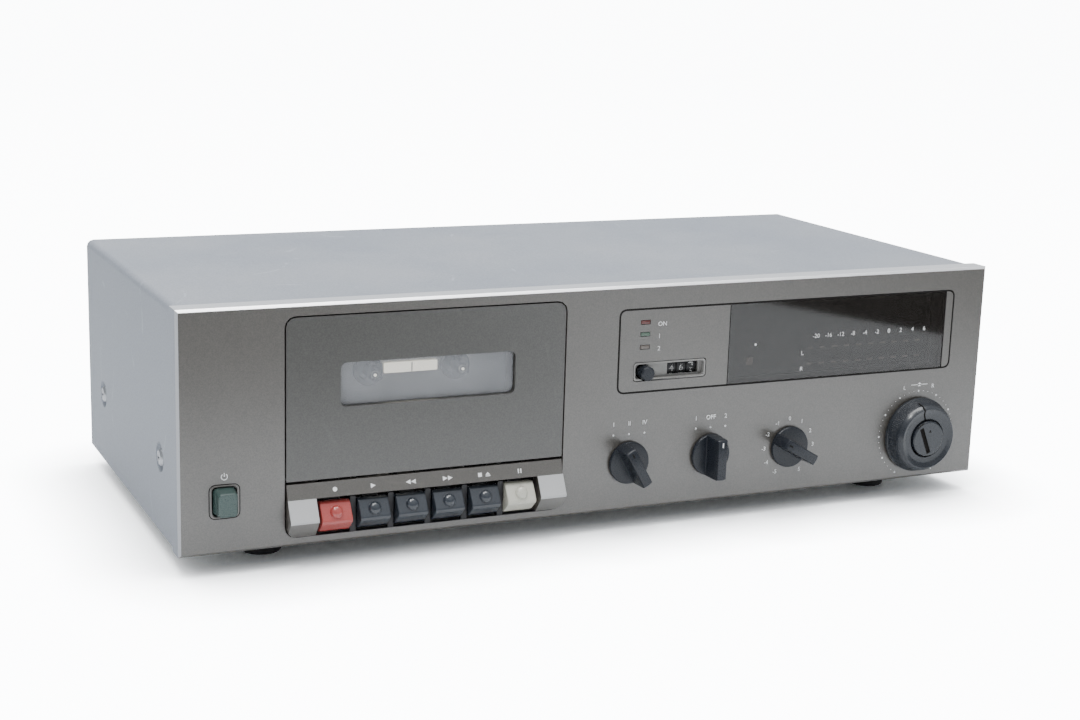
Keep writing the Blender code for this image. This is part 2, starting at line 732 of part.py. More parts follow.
def cover_screws():
    """Pan-head screws that hold the cover to the pan's turned-up sides."""
    for side, way in (("left", -1), ("right", 1)):
        for end, place in zip(("front", "rear"), SCREW_PLACES):
            seat = way * (COVER_OUT - DIMPLE_DEPTH + GAP)
            crown = seat + way * SCREW_HEAD_HEIGHT
            tip = seat - way * SCREW_LENGTH
            profile = [(0, tip), (SCREW_SHANK, tip), (SCREW_SHANK, seat), (SCREW_HEAD, seat),
                       (SCREW_HEAD, seat + way * SCREW_HEAD_HEIGHT / 3),
                       (SCREW_HEAD * 3 / 4, seat + way * SCREW_HEAD_HEIGHT * 5 / 6), (0, crown)]
            depth = SCREW_HEAD_HEIGHT / 2
            slots = [box(*sorted((crown - way * depth, crown + way * OVERRUN)),
                         place - a, place + a, SCREW_Z - b, SCREW_Z + b)
                     for a, b in ((SCREW_HEAD / 2, SCREW_HEAD / 8), (SCREW_HEAD / 8, SCREW_HEAD / 2))]
            piece(f"cover_screw_{side}_{end}", turned(profile, (place, SCREW_Z), 0, ROUND // 2),
                  PLATED, cuts=slots, pivot=(seat, place, SCREW_Z))


def bottom_pan():
    """Folded sheet: a floor, a low lip along the front and a side turned up under each cover edge."""
    floor = box(-PAN_OUT, PAN_OUT, CASE_FRONT, PAN_BACK, PAN_BOTTOM, PAN_TOP)
    lip = box(-PAN_OUT, PAN_OUT, CASE_FRONT, CASE_FRONT + SHEET, PAN_BOTTOM, PAN_FRONT)
    sides = [box(way * PAN_OUT - SHEET * (way > 0), way * PAN_OUT + SHEET * (way < 0),
                 CASE_FRONT, PAN_BACK, PAN_BOTTOM, PAN_SIDE) for way in (-1, 1)]
    holes = []
    for way in (-1, 1):
        for place in SCREW_PLACES:
            ends = sorted((way * (PAN_OUT + OVERRUN), way * (PAN_OUT - SHEET - OVERRUN)))
            holes.append(cylinder(SCREW_SHANK + GAP, *ends, (place, SCREW_Z), 0, ROUND // 2))
        for place in FOOT_PLACES:
            holes.append(cylinder(FOOT_STUD + GAP, PAN_BOTTOM - OVERRUN, PAN_TOP + OVERRUN,
                                  (way * FOOT_X, place), 2, ROUND // 2))
    piece("bottom_pan", floor, PLATED, joins=[lip, *sides], cuts=holes)


def feet():
    """Round feet, each with a stud up through the pan and a hollow for its screw."""
    top = PAN_BOTTOM - GAP
    for side, way in (("left", -1), ("right", 1)):
        for end, place in zip(("front", "rear"), FOOT_PLACES):
            profile = [(0, PAN_TOP + SHEET), (FOOT_STUD, PAN_TOP + SHEET), (FOOT_STUD, top),
                       (FOOT_RADIUS, top), (FOOT_RADIUS - FOOT_TAPER / 2, -FOOT_REACH + FOOT_TAPER),
                       (FOOT_RADIUS - FOOT_TAPER, -FOOT_REACH), (FOOT_HOLLOW, -FOOT_REACH),
                       (FOOT_HOLLOW, -FOOT_REACH / 2), (0, -FOOT_REACH / 2)]
            piece(f"foot_{end}_{side}", turned(profile, (way * FOOT_X, place), 2), RUBBER,
                  pivot=(way * FOOT_X, place, 0))


def rear_panel():
    plate = box(-PAN_OUT + GAP, PAN_OUT - GAP, CASE_DEPTH - SHEET, CASE_DEPTH, PAN_TOP, REAR_TOP)
    front, back = CASE_DEPTH - SHEET - OVERRUN, CASE_DEPTH + OVERRUN
    holes = [cylinder(JACK_BARREL + GAP, front, back, place) for place in jack_places()]
    gland = cylinder(GLAND_NECK + GAP, front, back, (GLAND_X, GLAND_Z))
    piece("rear_panel", plate, COVER, cuts=[*holes, gland])


def jack_places():
    return [(JACK_X + a * JACK_PITCH / 2, JACK_Z + b * JACK_PITCH / 2) for a in (-1, 1) for b in (-1, 1)]


def jack_block():
    """Four phono sockets in one moulding behind the rear panel."""
    front = PAN_BACK - JACK_BLOCK_DEPTH
    half = JACK_BLOCK / 2
    block = box(JACK_X - half, JACK_X + half, front, PAN_BACK, JACK_Z - half, JACK_Z + half)
    barrels = [cylinder(JACK_BARREL, PAN_BACK - OVERRUN, CASE_DEPTH + SOCKET_REACH, place)
               for place in jack_places()]
    bores = [cylinder(JACK_BORE, PAN_BACK, CASE_DEPTH + SOCKET_REACH + OVERRUN, place, 1, ROUND // 2)
             for place in jack_places()]
    piece("jack_block", block, DARK, joins=barrels, cuts=bores)


def mains_gland():
    """The bush that the mains lead passes through: a spool snapped into the rear panel."""
    inner, outer = PAN_BACK, CASE_DEPTH + GAP
    profile = [(GLAND_BORE, inner - GLAND_LIP), (GLAND_NECK + GLAND_LIP / 2, inner - GLAND_LIP),
               (GLAND_NECK + GLAND_LIP / 2, inner), (GLAND_NECK, inner), (GLAND_NECK, outer),
               (GLAND_FLANGE, outer), (GLAND_FLANGE - GLAND_LIP / 3, outer + GLAND_LIP),
               (GLAND_BORE, outer + GLAND_LIP)]
    piece("mains_gland", turned(profile, (GLAND_X, GLAND_Z)), DARK)


def transformer():
    """A laminated core with its winding across it, on a frame with two feet."""
    half, deep = TRANSFORMER_WIDTH / 2, TRANSFORMER_DEPTH / 2
    x, y, high = TRANSFORMER_X, TRANSFORMER_Y, FLOOR + TRANSFORMER_HEIGHT
    core = box(x - half, x + half, y - deep, y + deep, FLOOR, high)
    foot = TRANSFORMER_WIDTH / 5
    strap = box(x - half - foot, x + half + foot, y - deep / 2, y + deep / 2, FLOOR, FLOOR + SHEET)
    middle = (FLOOR + high) / 2
    winding = prism(rounded(x - WINDING_SIZE / 2, x + WINDING_SIZE / 2, middle - WINDING_SIZE / 2,
                            middle + WINDING_SIZE / 2, WINDING_SIZE / 6),
                    y - WINDING_DEPTH / 2, y + WINDING_DEPTH / 2)
    piece("transformer", core, PLATED, joins=[strap, winding])


def main_board():
    """The circuit board on four legs, with its tall capacitors and a heat sink."""
    left, right, front, back = MAIN_BOARD_LEFT, MAIN_BOARD_RIGHT, MAIN_BOARD_FRONT, MAIN_BOARD_BACK
    board = box(left, right, front, back, MAIN_BOARD_Z, MAIN_BOARD_Z + BOARD)
    legs = [cylinder(LEG_RADIUS, FLOOR, MAIN_BOARD_Z + BOARD / 2, (x, y), 2, ROUND // 3)
            for x in (left + LEG_INSET, right - LEG_INSET) for y in (front + LEG_INSET, back - LEG_INSET)]
    tall = []
    for across_share, along_share, radius_share, height_share in CAPACITOR_SHARES:
        place = (left + (right - left) * across_share, front + (back - front) * along_share)
        low = MAIN_BOARD_Z + BOARD / 2
        tall.append(cylinder(POT_SIZE * radius_share, low, low + TRANSFORMER_HEIGHT * height_share,
                             place, 2, ROUND // 2))
    sink_left = left + (right - left) * HEAT_SINK_SHARE
    sink = box(sink_left, sink_left + TRANSFORMER_WIDTH, back - LEG_INSET * 2, back - LEG_INSET * 2 + SHEET * 2,
               MAIN_BOARD_Z + BOARD / 2, MAIN_BOARD_Z + TRANSFORMER_HEIGHT * 3 / 4)
    piece("main_board", board, BOARD_BROWN, joins=[*legs, *tall, sink])


# Cassette door, window and holder
def cassette_door():
    """A plate with a window, hinged on two short pins near its bottom edge."""
    outline = rounded(DOOR_LEFT, DOOR_RIGHT, DOOR_BOTTOM, DOOR_TOP, DOOR_CORNER)
    plate = prism(outline, 0, DOOR_THICKNESS)
    square = rectangle(DOOR_LEFT, DOOR_RIGHT, DOOR_BOTTOM, DOOR_BOTTOM + DOOR_CORNER * 2)
    foot = prism(square, 0, DOOR_THICKNESS)
    window = prism(rounded(WINDOW_LEFT, WINDOW_RIGHT, WINDOW_BOTTOM, WINDOW_TOP, WINDOW_CORNER),
                   -OVERRUN, DOOR_THICKNESS + OVERRUN)
    pins = [cylinder(DOOR_PIN_RADIUS, *ends, (DOOR_PIVOT_Y, DOOR_PIVOT_Z), 0, ROUND // 2)
            for ends in ((DOOR_LEFT - DOOR_PIN_REACH, DOOR_LEFT + OVERRUN),
                         (DOOR_RIGHT - OVERRUN, DOOR_RIGHT + DOOR_PIN_REACH))]
    piece("cassette_door", plate, FASCIA, joins=[foot, *pins], cuts=[window],
          pivot=(BAY_X, DOOR_PIVOT_Y, DOOR_PIVOT_Z))


def door_window():
    """A smoked plate behind the door, with a raised middle that stands in the door's opening."""
    rim = WINDOW_RIM
    face = DOOR_THICKNESS + GAP
    flange = box(WINDOW_LEFT - rim, WINDOW_RIGHT + rim, face, face + WINDOW_SHEET,
                 WINDOW_BOTTOM - rim, WINDOW_TOP + rim)
    middle = prism(rounded(WINDOW_LEFT + GAP, WINDOW_RIGHT - GAP, WINDOW_BOTTOM + GAP,
                           WINDOW_TOP - GAP, WINDOW_CORNER), WINDOW_RECESS, face + WINDOW_SHEET / 2)
    piece("door_window", flange, SMOKED, joins=[middle], pivot=(BAY_X, DOOR_PIVOT_Y, DOOR_PIVOT_Z))


def cassette_holder():
    """A plate behind the window with a channel down each side, open at the top for the cassette."""
    inner = CASSETTE_WIDTH / 2 + CASSETTE_PLAY
    outer = inner + HOLDER_SHEET
    back = CASSETTE_FRONT + CASSETTE_THICKNESS + GAP
    low = CASSETTE_BOTTOM - CASSETTE_PLAY - HOLDER_SHEET
    plate = box(BAY_X - outer, BAY_X + outer, HOLDER_FRONT, HOLDER_FRONT + HOLDER_SHEET, low, HOLDER_TOP)
    joins = []
    for way in (-1, 1):
        wall = sorted((BAY_X + way * inner, BAY_X + way * outer))
        lip = sorted((BAY_X + way * (inner - HOLDER_LIP), BAY_X + way * outer))
        foot = sorted((BAY_X + way * (inner - HOLDER_FOOT), BAY_X + way * outer))
        joins.append(box(*wall, HOLDER_FRONT, back + HOLDER_SHEET, low, HOLDER_TOP))
        joins.append(box(*lip, back, back + HOLDER_SHEET, low, HOLDER_TOP))
        joins.append(box(*foot, HOLDER_FRONT, back + HOLDER_SHEET, low, low + HOLDER_SHEET))
    margin = HOLDER_WINDOW_MARGIN
    window = prism(rounded(WINDOW_LEFT - margin, WINDOW_RIGHT + margin, WINDOW_BOTTOM - margin,
                           WINDOW_TOP + margin, WINDOW_CORNER),
                   HOLDER_FRONT - OVERRUN, HOLDER_FRONT + HOLDER_SHEET + OVERRUN)
    piece("cassette_holder", plate, PLATED, joins=joins, cuts=[window],
          pivot=(BAY_X, DOOR_PIVOT_Y, DOOR_PIVOT_Z))


# Keys
def key_bezel():
    """The sloping label strip with a cheek at each end, whose ears carry the key shaft."""
    strip = [(0, STRIP_TOP), (-STRIP_REACH, STRIP_BOTTOM),
             (-STRIP_REACH + STRIP_THICKNESS, STRIP_BOTTOM), (STRIP_THICKNESS, STRIP_TOP)]
    back = SHAFT_Y + KEY_BOSS_RADIUS
    edge = CHEEK_CORNER / 4
    cheek = [(0, STRIP_TOP), (-STRIP_REACH, STRIP_BOTTOM),
             (-CHEEK_EDGE_REACH + edge / 2, CHEEK_EDGE + edge), (-CHEEK_EDGE_REACH, CHEEK_EDGE),
             (-CHEEK_EDGE_REACH + edge / 4, CHEEK_EDGE - edge), (-CHEEK_BOTTOM_REACH, CHEEK_BOTTOM),
             (DOOR_THICKNESS, CHEEK_BOTTOM), (DOOR_THICKNESS, EAR_BOTTOM), (back, EAR_BOTTOM),
             (back, STRIP_TOP)]
    cheeks = []
    rounds = []
    for way in (-1, 1):
        ends = sorted((BAY_X + way * (DOOR_RIGHT - BAY_X), BAY_X + way * (DOOR_RIGHT - BAY_X - CHEEK_WIDTH)))
        cheeks.append(prism(cheek, *ends, 0))
        rounds.append(corner_cutter(BAY_X + way * (DOOR_RIGHT - BAY_X), way))
    base = prism(strip, DOOR_LEFT, DOOR_RIGHT, 0)
    bore = cylinder(SHAFT_BORE, DOOR_LEFT - OVERRUN, DOOR_RIGHT + OVERRUN, (SHAFT_Y, SHAFT_Z), 0)
    piece("key_bezel", base, FASCIA, joins=cheeks, cuts=[bore, *rounds])


def corner_cutter(side, way):
    """What lies outside the round lower corner of a cheek, seen from the front."""
    centre_x, centre_z = side - way * CHEEK_CORNER, CHEEK_BOTTOM + CHEEK_CORNER
    arc = []
    for step in range(CORNER_STEPS + 1):
        angle = step / CORNER_STEPS * math.pi / 2
        arc.append((centre_x + way * CHEEK_CORNER * math.sin(angle),
                    centre_z - CHEEK_CORNER * math.cos(angle)))
    outside = [(side + way * OVERRUN, centre_z), (side + way * OVERRUN, CHEEK_BOTTOM - OVERRUN),
               (centre_x, CHEEK_BOTTOM - OVERRUN)]
    return prism(arc + outside, -CHEEK_EDGE_REACH - OVERRUN, DOOR_THICKNESS + OVERRUN)


def dome(centre, normal, radius, height):
    """A low dome, half sunk into the face that it stands on."""
    bm = bmesh.new()
    bmesh.ops.create_icosphere(bm, subdivisions=2, radius=1)
    turn = Vector(normal).to_track_quat("Z", "Y").to_matrix().to_4x4()
    size = Matrix.Diagonal((radius, radius, height, 1))
    bmesh.ops.transform(bm, matrix=Matrix.Translation(centre) @ turn @ size, verts=bm.verts)
    return mesh_of(bm)


def keys():
    """Six keys that swing on the shaft, each with a finger dome on its sloping face."""
    profile = [(-KEY_TOP_REACH, KEY_TOP), (-KEY_EDGE_REACH, KEY_EDGE), (KEY_BOTTOM_DEPTH, KEY_BOTTOM),
               (KEY_BACK, KEY_BOTTOM), (KEY_BACK, KEY_TOP)]
    lever_outline = [(KEY_BACK / 2, SHAFT_Z - KEY_ARM_DROP)]
    for step in range(ROUND // 2 + 1):
        angle = KEY_BOSS_START + KEY_BOSS_SWEEP * step / (ROUND // 2)
        lever_outline.append((SHAFT_Y + KEY_BOSS_RADIUS * math.cos(angle),
                              SHAFT_Z + KEY_BOSS_RADIUS * math.sin(angle)))
    lever_outline.append((KEY_BACK / 2, KEY_TOP - GAP))
    slope = (0, KEY_EDGE - KEY_TOP, KEY_EDGE_REACH - KEY_TOP_REACH)
    colours = (KEY_RED, KEY_BLACK, KEY_BLACK, KEY_BLACK, KEY_BLACK, KEY_BEIGE)
    for name, x, colour in zip(KEY_NAMES, KEY_X, colours):
        cap = prism(profile, x - KEY_WIDTH / 2, x + KEY_WIDTH / 2, 0)
        centre = (x, -(KEY_TOP_REACH + KEY_EDGE_REACH) / 2, (KEY_TOP + KEY_EDGE) / 2)
        button = dome(centre, slope, KEY_DOME_RADIUS, KEY_DOME_HEIGHT)
        lever = prism(lever_outline, x - KEY_ARM_WIDTH / 2, x + KEY_ARM_WIDTH / 2, 0)
        bore = cylinder(SHAFT_BORE, x - KEY_WIDTH, x + KEY_WIDTH, (SHAFT_Y, SHAFT_Z), 0)
        piece(name, cap, colour, joins=[lever, button], cuts=[bore], pivot=(x, SHAFT_Y, SHAFT_Z))


def key_shaft():
    rod = cylinder(SHAFT_RADIUS, DOOR_LEFT + GAP, DOOR_RIGHT - GAP, (SHAFT_Y, SHAFT_Z), 0)
    piece("key_shaft", rod, BRIGHT)


# Power button and switch
def power_button():
    """A tapered button with a retaining flange behind the fascia and a square stem."""
    wide = POWER_SLOT_WIDTH - 2 * POWER_CLEARANCE
    high = POWER_SLOT_HEIGHT - 2 * POWER_CLEARANCE
    bevel = POWER_CORNER / 4
    face = power_outline(POWER_FACE_WIDTH - 2 * bevel, POWER_FACE_HEIGHT - 2 * bevel, POWER_CORNER / 2)
    brow = power_outline(POWER_FACE_WIDTH, POWER_FACE_HEIGHT, POWER_CORNER * 3 / 4)
    root = power_outline(wide, high, POWER_CORNER)
    back = FASCIA_WALL + RUNNING + POWER_FLANGE
    body = loft([(face, -POWER_FACE_REACH), (brow, -POWER_FACE_REACH + bevel), (root, 0), (root, back)])
    flange = prism(power_outline(POWER_SLOT_WIDTH + POWER_CORNER, POWER_SLOT_HEIGHT + POWER_CORNER),
                   FASCIA_WALL + RUNNING, back)
    stem = prism(power_outline(POWER_STEM, POWER_STEM, POWER_CORNER / 4), back - POWER_FLANGE / 2,
                 POWER_STEM_END)
    piece("power_button", body, POWER_GREEN, joins=[flange, stem], pivot=(POWER_X, 0, POWER_Z))


def power_switch():
    """The switch body on the subchassis, with ears and a square well for the button's stem."""
    front = SUBCHASSIS_BACK + GAP
    half = SWITCH_WIDTH / 2
    body = box(POWER_X - half, POWER_X + half, front, front + SWITCH_DEPTH, POWER_Z - half, POWER_Z + half)
    ears = box(POWER_X - half, POWER_X + half, front, front + SHEET,
               POWER_Z - half - SWITCH_EAR, POWER_Z + half + SWITCH_EAR)
    hole = POWER_STEM / 2 + RUNNING
    well = box(POWER_X - hole, POWER_X + hole, front - OVERRUN, POWER_STEM_END + POWER_TRAVEL + GAP,
               POWER_Z - hole, POWER_Z + hole)
    piece("power_switch", body, DARK, joins=[ears], cuts=[well])


# Knobs
def selector_knobs():
    """Disc knobs with a grip bar right across them and a shaft into the control behind."""
    for name, x, pointer in zip(SELECTOR_NAMES, SELECTOR_X, SELECTOR_POINTERS):
        disc_front = -KNOB_LIFT - SELECTOR_DISC
        edge = SELECTOR_DISC / 2
        profile = [(0, KNOB_SHAFT_END), (SELECTOR_SHAFT_RADIUS, KNOB_SHAFT_END),
                   (SELECTOR_SHAFT_RADIUS, -KNOB_LIFT), (SELECTOR_RADIUS, -KNOB_LIFT),
                   (SELECTOR_RADIUS, disc_front + edge), (SELECTOR_RADIUS - edge, disc_front),
                   (0, disc_front)]
        disc = turned(profile, (x, KNOB_Z), 1, FINE_ROUND)
        root = grip_outline(x, SELECTOR_GRIP, SELECTOR_RADIUS)
        crown = grip_outline(x, SELECTOR_GRIP * 4 / 5, SELECTOR_RADIUS - edge)
        grip = loft([(root, disc_front + edge), (root, -KNOB_REACH + edge), (crown, -KNOB_REACH)])
        turned_grip = spun(grip, pointer, x, KNOB_Z)
        piece(name, disc, KNOB, joins=[turned_grip], pivot=(x, 0, KNOB_Z))


def grip_outline(x, width, radius):
    """A bar as long as the disc is wide, its ends on the disc's own circle."""
    spread = math.asin(width / 2 / radius)
    points = []
    for middle in (math.pi / 2, -math.pi / 2):
        for step in range(CORNER_STEPS):
            angle = middle + spread * (2 * step / (CORNER_STEPS - 1) - 1)
            points.append((x + radius * math.cos(angle), KNOB_Z + radius * math.sin(angle)))
    return points


def record_level_knob():
    """The outer knob: a ribbed skirt, a bright lip and a well for the balance knob."""
    front = -LEVEL_REACH
    lip = LEVEL_FRONT_RADIUS - LEVEL_LIP_RADIUS
    well = front + LEVEL_WELL_DEPTH
    profile = [(BALANCE_SHAFT_RADIUS + GAP, KNOB_SHAFT_END), (LEVEL_TUBE_RADIUS - GAP, KNOB_SHAFT_END),
               (LEVEL_TUBE_RADIUS - GAP, -KNOB_LIFT), (LEVEL_SKIRT_RADIUS, -KNOB_LIFT),
               (LEVEL_SKIRT_RADIUS, -KNOB_LIFT - lip), (LEVEL_FRONT_RADIUS, front + lip / 3),
               (LEVEL_FRONT_RADIUS - lip / 3, front), (LEVEL_LIP_RADIUS, front + lip / 3),
               (LEVEL_WELL_RADIUS, front + lip / 3), (LEVEL_WELL_RADIUS, well),
               (BALANCE_SHAFT_RADIUS + GAP, well)]
    piece("record_level_knob", turned(profile, (LEVEL_X, KNOB_Z), 1, FINE_ROUND), KNOB,
          pivot=(LEVEL_X, 0, KNOB_Z))


def balance_knob():
    """The inner knob, with a straight finger slot, on a shaft through the outer knob's tube."""
    back = -LEVEL_REACH + LEVEL_WELL_DEPTH - RUNNING
    edge = BALANCE_SLOT_DEPTH / 2
    profile = [(0, KNOB_SHAFT_END + OVERRUN), (BALANCE_SHAFT_RADIUS, KNOB_SHAFT_END + OVERRUN),
               (BALANCE_SHAFT_RADIUS, back), (BALANCE_RADIUS, back),
               (BALANCE_RADIUS, -BALANCE_REACH + edge), (BALANCE_RADIUS - edge, -BALANCE_REACH),
               (0, -BALANCE_REACH)]
    knob = turned(profile, (LEVEL_X, KNOB_Z), 1, FINE_ROUND)
    reach = BALANCE_RADIUS * 3 / 4
    slot = box(LEVEL_X - BALANCE_SLOT * 3 / 2, LEVEL_X - BALANCE_SLOT / 2, -BALANCE_REACH - OVERRUN,
               -BALANCE_REACH + BALANCE_SLOT_DEPTH, KNOB_Z - reach, KNOB_Z + reach)
    piece("balance_knob", knob, KNOB, cuts=[slot], pivot=(LEVEL_X, 0, KNOB_Z))


def control_board():
    """The circuit board behind the knobs, with a bushed control for each of them."""
    front = SUBCHASSIS_BACK + GAP
    back = front + POT_DEPTH
    half = POT_SIZE / 2
    board = box(SELECTOR_X[0] - half - BOARD_MARGIN, LEVEL_X + half + BOARD_MARGIN, back - BOARD / 4,
                back + BOARD, CONTROL_BOARD_LOW, CONTROL_BOARD_HIGH)
    bodies = [box(x - half, x + half, front, back, KNOB_Z - half, KNOB_Z + half) for x in KNOB_PLACES]
    bushes = [cylinder(BUSH_RADIUS, BUSH_FRONT, front + OVERRUN, (x, KNOB_Z)) for x in KNOB_PLACES]
    end = KNOB_SHAFT_END + OVERRUN + GAP
    wells = [cylinder(LEVEL_TUBE_RADIUS, BUSH_FRONT - OVERRUN, end, (x, KNOB_Z)) for x in KNOB_PLACES]
    piece("control_board", board, BOARD_BROWN, joins=[*bodies, *bushes], cuts=wells)


# Display insert
def display_panel():
    """The insert in the fascia: two face blocks on a flange, with the window between them."""
    left, right = DISPLAY_LEFT + DISPLAY_GAP, DISPLAY_RIGHT - DISPLAY_GAP
    low, high = DISPLAY_BOTTOM + DISPLAY_GAP, DISPLAY_TOP - DISPLAY_GAP
    face = FASCIA_WALL + GAP
    spread = DISPLAY_FLANGE
    flange = box(left - spread, right + spread, face, face + DISPLAY_SHEET, low - spread, high + spread)
    block = prism(rounded(left, right, low, high, DISPLAY_CORNER - DISPLAY_GAP), 0, face + DISPLAY_SHEET / 2)
    window = box(METER_LEFT, METER_RIGHT, -OVERRUN, face, low - spread, high + spread)
    opening = box(METER_LEFT + METER_RIM, METER_RIGHT - METER_RIM, -OVERRUN, face + DISPLAY_SHEET + OVERRUN,
                  low + METER_RIM / 2, high - METER_RIM / 2)
    back = face + DISPLAY_SHEET + OVERRUN
    counter = prism(rounded(COUNTER_LEFT, COUNTER_RIGHT, COUNTER_BOTTOM, COUNTER_TOP, COUNTER_CORNER),
                    -OVERRUN, back)
    lamps = [box(LAMP_X - LAMP_WIDTH / 2, LAMP_X + LAMP_WIDTH / 2, -OVERRUN, back,
                 z - LAMP_HEIGHT / 2, z + LAMP_HEIGHT / 2) for z in LAMP_ROWS]
    piece("display_panel", flange, FASCIA, joins=[block], cuts=[window, opening, counter, *lamps])


def meter_window():
    """The smoked window in front of the level bars."""
    plate = box(METER_LEFT + GAP, METER_RIGHT - GAP, 0, FASCIA_WALL,
                DISPLAY_BOTTOM + DISPLAY_GAP, DISPLAY_TOP - DISPLAY_GAP)
    piece("meter_window", plate, SMOKED)


def meter_board():
    """The board behind the display insert, with its lamps and the two rows of level bars."""
    front = SUBCHASSIS_BACK + GAP
    spread = BOARD_MARGIN
    board = box(DISPLAY_LEFT - spread, DISPLAY_RIGHT + spread, front, front + BOARD,
                DISPLAY_BOTTOM - spread, DISPLAY_TOP + spread)
    foot = front + BOARD / 2
    lamps = [box(LAMP_X - LAMP_WIDTH / 2 + GAP, LAMP_X + LAMP_WIDTH / 2 - GAP, 0, foot,
                 z - LAMP_HEIGHT / 2 + GAP, z + LAMP_HEIGHT / 2 - GAP) for z in LAMP_ROWS]
    bars = [box(BAR_LEFT, BAR_RIGHT, BAR_FRONT, foot, z - BAR_HEIGHT / 2, z + BAR_HEIGHT / 2)
            for z in BAR_ROWS]
    half = RECORD_LAMP_SIZE / 2
    lamp = box(RECORD_LAMP_X - half, RECORD_LAMP_X + half, BAR_FRONT, foot,
               RECORD_LAMP_Z - half, RECORD_LAMP_Z + half)
    counter = box(COUNTER_LEFT - spread / 2, COUNTER_RIGHT + spread, front - OVERRUN, front + BOARD + OVERRUN,
                  WHEEL_Z - WHEEL_RADIUS - OVERRUN, WHEEL_Z + WHEEL_RADIUS + OVERRUN)
    piece("meter_board", board, BOARD_BROWN, joins=[*lamps, *bars, lamp], cuts=[counter])


# Tape counter
def counter_frame():
    """A tray in the display insert, with two sides behind it that carry the wheels' axle."""
    left, right = COUNTER_LEFT + GAP, COUNTER_RIGHT - GAP
    low, high = COUNTER_BOTTOM + GAP, COUNTER_TOP - GAP
    back = COUNTER_DEPTH + COUNTER_FLOOR
    tray = prism(rounded(left, right, low, high, COUNTER_CORNER), 0, back)
    wall = COUNTER_WALL
    recess = prism(rounded(left + wall, right - wall, low + wall, high - wall, COUNTER_CORNER - wall / 2),
                   -OVERRUN, COUNTER_DEPTH)
    span = DIGIT_PITCH * (len(DIGIT_NAMES) - 1) + DIGIT_WIDTH
    digits = box(DIGIT_X - span / 2 - RUNNING, DIGIT_X + span / 2 + RUNNING, -OVERRUN, back + OVERRUN,
                 WHEEL_Z - DIGIT_HEIGHT / 2, WHEEL_Z + DIGIT_HEIGHT / 2)
    button = cylinder(RESET_RADIUS + GAP, -OVERRUN, back + OVERRUN, (RESET_X, RESET_Z))
    inner = span / 2 + RUNNING * 2
    half = COUNTER_SIDE_HEIGHT / 2
    sides = []
    for way in (-1, 1):
        ends = sorted((DIGIT_X + way * inner, DIGIT_X + way * (inner + COUNTER_SIDE)))
        near = box(*ends, back - COUNTER_FLOOR / 2, back + OVERRUN, low + wall, high - wall)
        sides.append(near)
        sides.append(box(*ends, back + OVERRUN * 3 / 4, COUNTER_SIDE_END, WHEEL_Z - half, WHEEL_Z + half))
    axle = cylinder(AXLE_RADIUS, DIGIT_X - inner - COUNTER_SIDE / 2, DIGIT_X + inner + COUNTER_SIDE / 2,
                    (WHEEL_Y, WHEEL_Z), 0, ROUND // 2)
    arm = box(COUNTER_PULLEY_X - COUNTER_ARM_HEIGHT / 2, DIGIT_X - inner - COUNTER_SIDE / 2,
              COUNTER_SIDE_END - COUNTER_ARM, COUNTER_SIDE_END,
              WHEEL_Z - COUNTER_ARM_HEIGHT / 2, WHEEL_Z + COUNTER_ARM_HEIGHT / 2)
    bearing = cylinder(SMALL_SHAFT + RUNNING, COUNTER_SIDE_END - COUNTER_ARM - OVERRUN,
                       COUNTER_SIDE_END + OVERRUN, (COUNTER_PULLEY_X, WHEEL_Z))
    piece("counter_frame", tray, FASCIA, cuts=[recess, digits, button],
          adds=[*sides, axle, bored(arm, bearing, "counter_arm")])


def bored(mesh, cutter, name):
    """The mesh with a hole cut in it, as a mesh of its own."""
    carrier = helper(mesh, name)
    hole = helper(cutter, f"{name}_bore")
    boolean = carrier.modifiers.new("bore", "BOOLEAN")
    boolean.operation = "DIFFERENCE"
    boolean.object = hole
    graph = bpy.context.evaluated_depsgraph_get()
    return bpy.data.meshes.new_from_object(carrier.evaluated_get(graph))


def counter_wheels():
    for number, name in enumerate(DIGIT_NAMES):
        x = DIGIT_X + (number - (len(DIGIT_NAMES) - 1) / 2) * DIGIT_PITCH
        wheel = ring(WHEEL_BORE, WHEEL_RADIUS, x - DIGIT_WIDTH / 2, x + DIGIT_WIDTH / 2,
                     (WHEEL_Y, WHEEL_Z), 0, FINE_ROUND)
        piece(name, wheel, DARK, pivot=(x, WHEEL_Y, WHEEL_Z))


def counter_reset_button():
    """A round button with a collar behind the tray's floor."""
    collar = COUNTER_DEPTH + COUNTER_FLOOR + RUNNING
    edge = RESET_COLLAR / 2
    profile = [(0, RESET_END), (RESET_RADIUS / 2, RESET_END), (RESET_RADIUS / 2, collar + RESET_COLLAR),
               (RESET_RADIUS + RESET_COLLAR / 2, collar + RESET_COLLAR),
               (RESET_RADIUS + RESET_COLLAR / 2, collar), (RESET_RADIUS, collar),
               (RESET_RADIUS, -RESET_REACH + edge), (RESET_RADIUS - edge, -RESET_REACH),
               (0, -RESET_REACH)]
    piece("counter_reset_button", turned(profile, (RESET_X, RESET_Z)), KNOB, pivot=(RESET_X, 0, RESET_Z))


def counter_pulley():
    """A grooved pulley on a shaft that turns in the counter frame's arm."""
    front = COUNTER_BELT_Y - PULLEY_WIDTH / 2
    profile = [(0, COUNTER_SIDE_END - COUNTER_ARM - SHEET),
               (SMALL_SHAFT, COUNTER_SIDE_END - COUNTER_ARM - SHEET), (SMALL_SHAFT, front),
               *groove(COUNTER_PULLEY_RADIUS), (0, COUNTER_BELT_Y + PULLEY_WIDTH / 2)]
    piece("counter_pulley", turned(profile, (COUNTER_PULLEY_X, WHEEL_Z)), BRASS,
          pivot=(COUNTER_PULLEY_X, COUNTER_BELT_Y, WHEEL_Z))


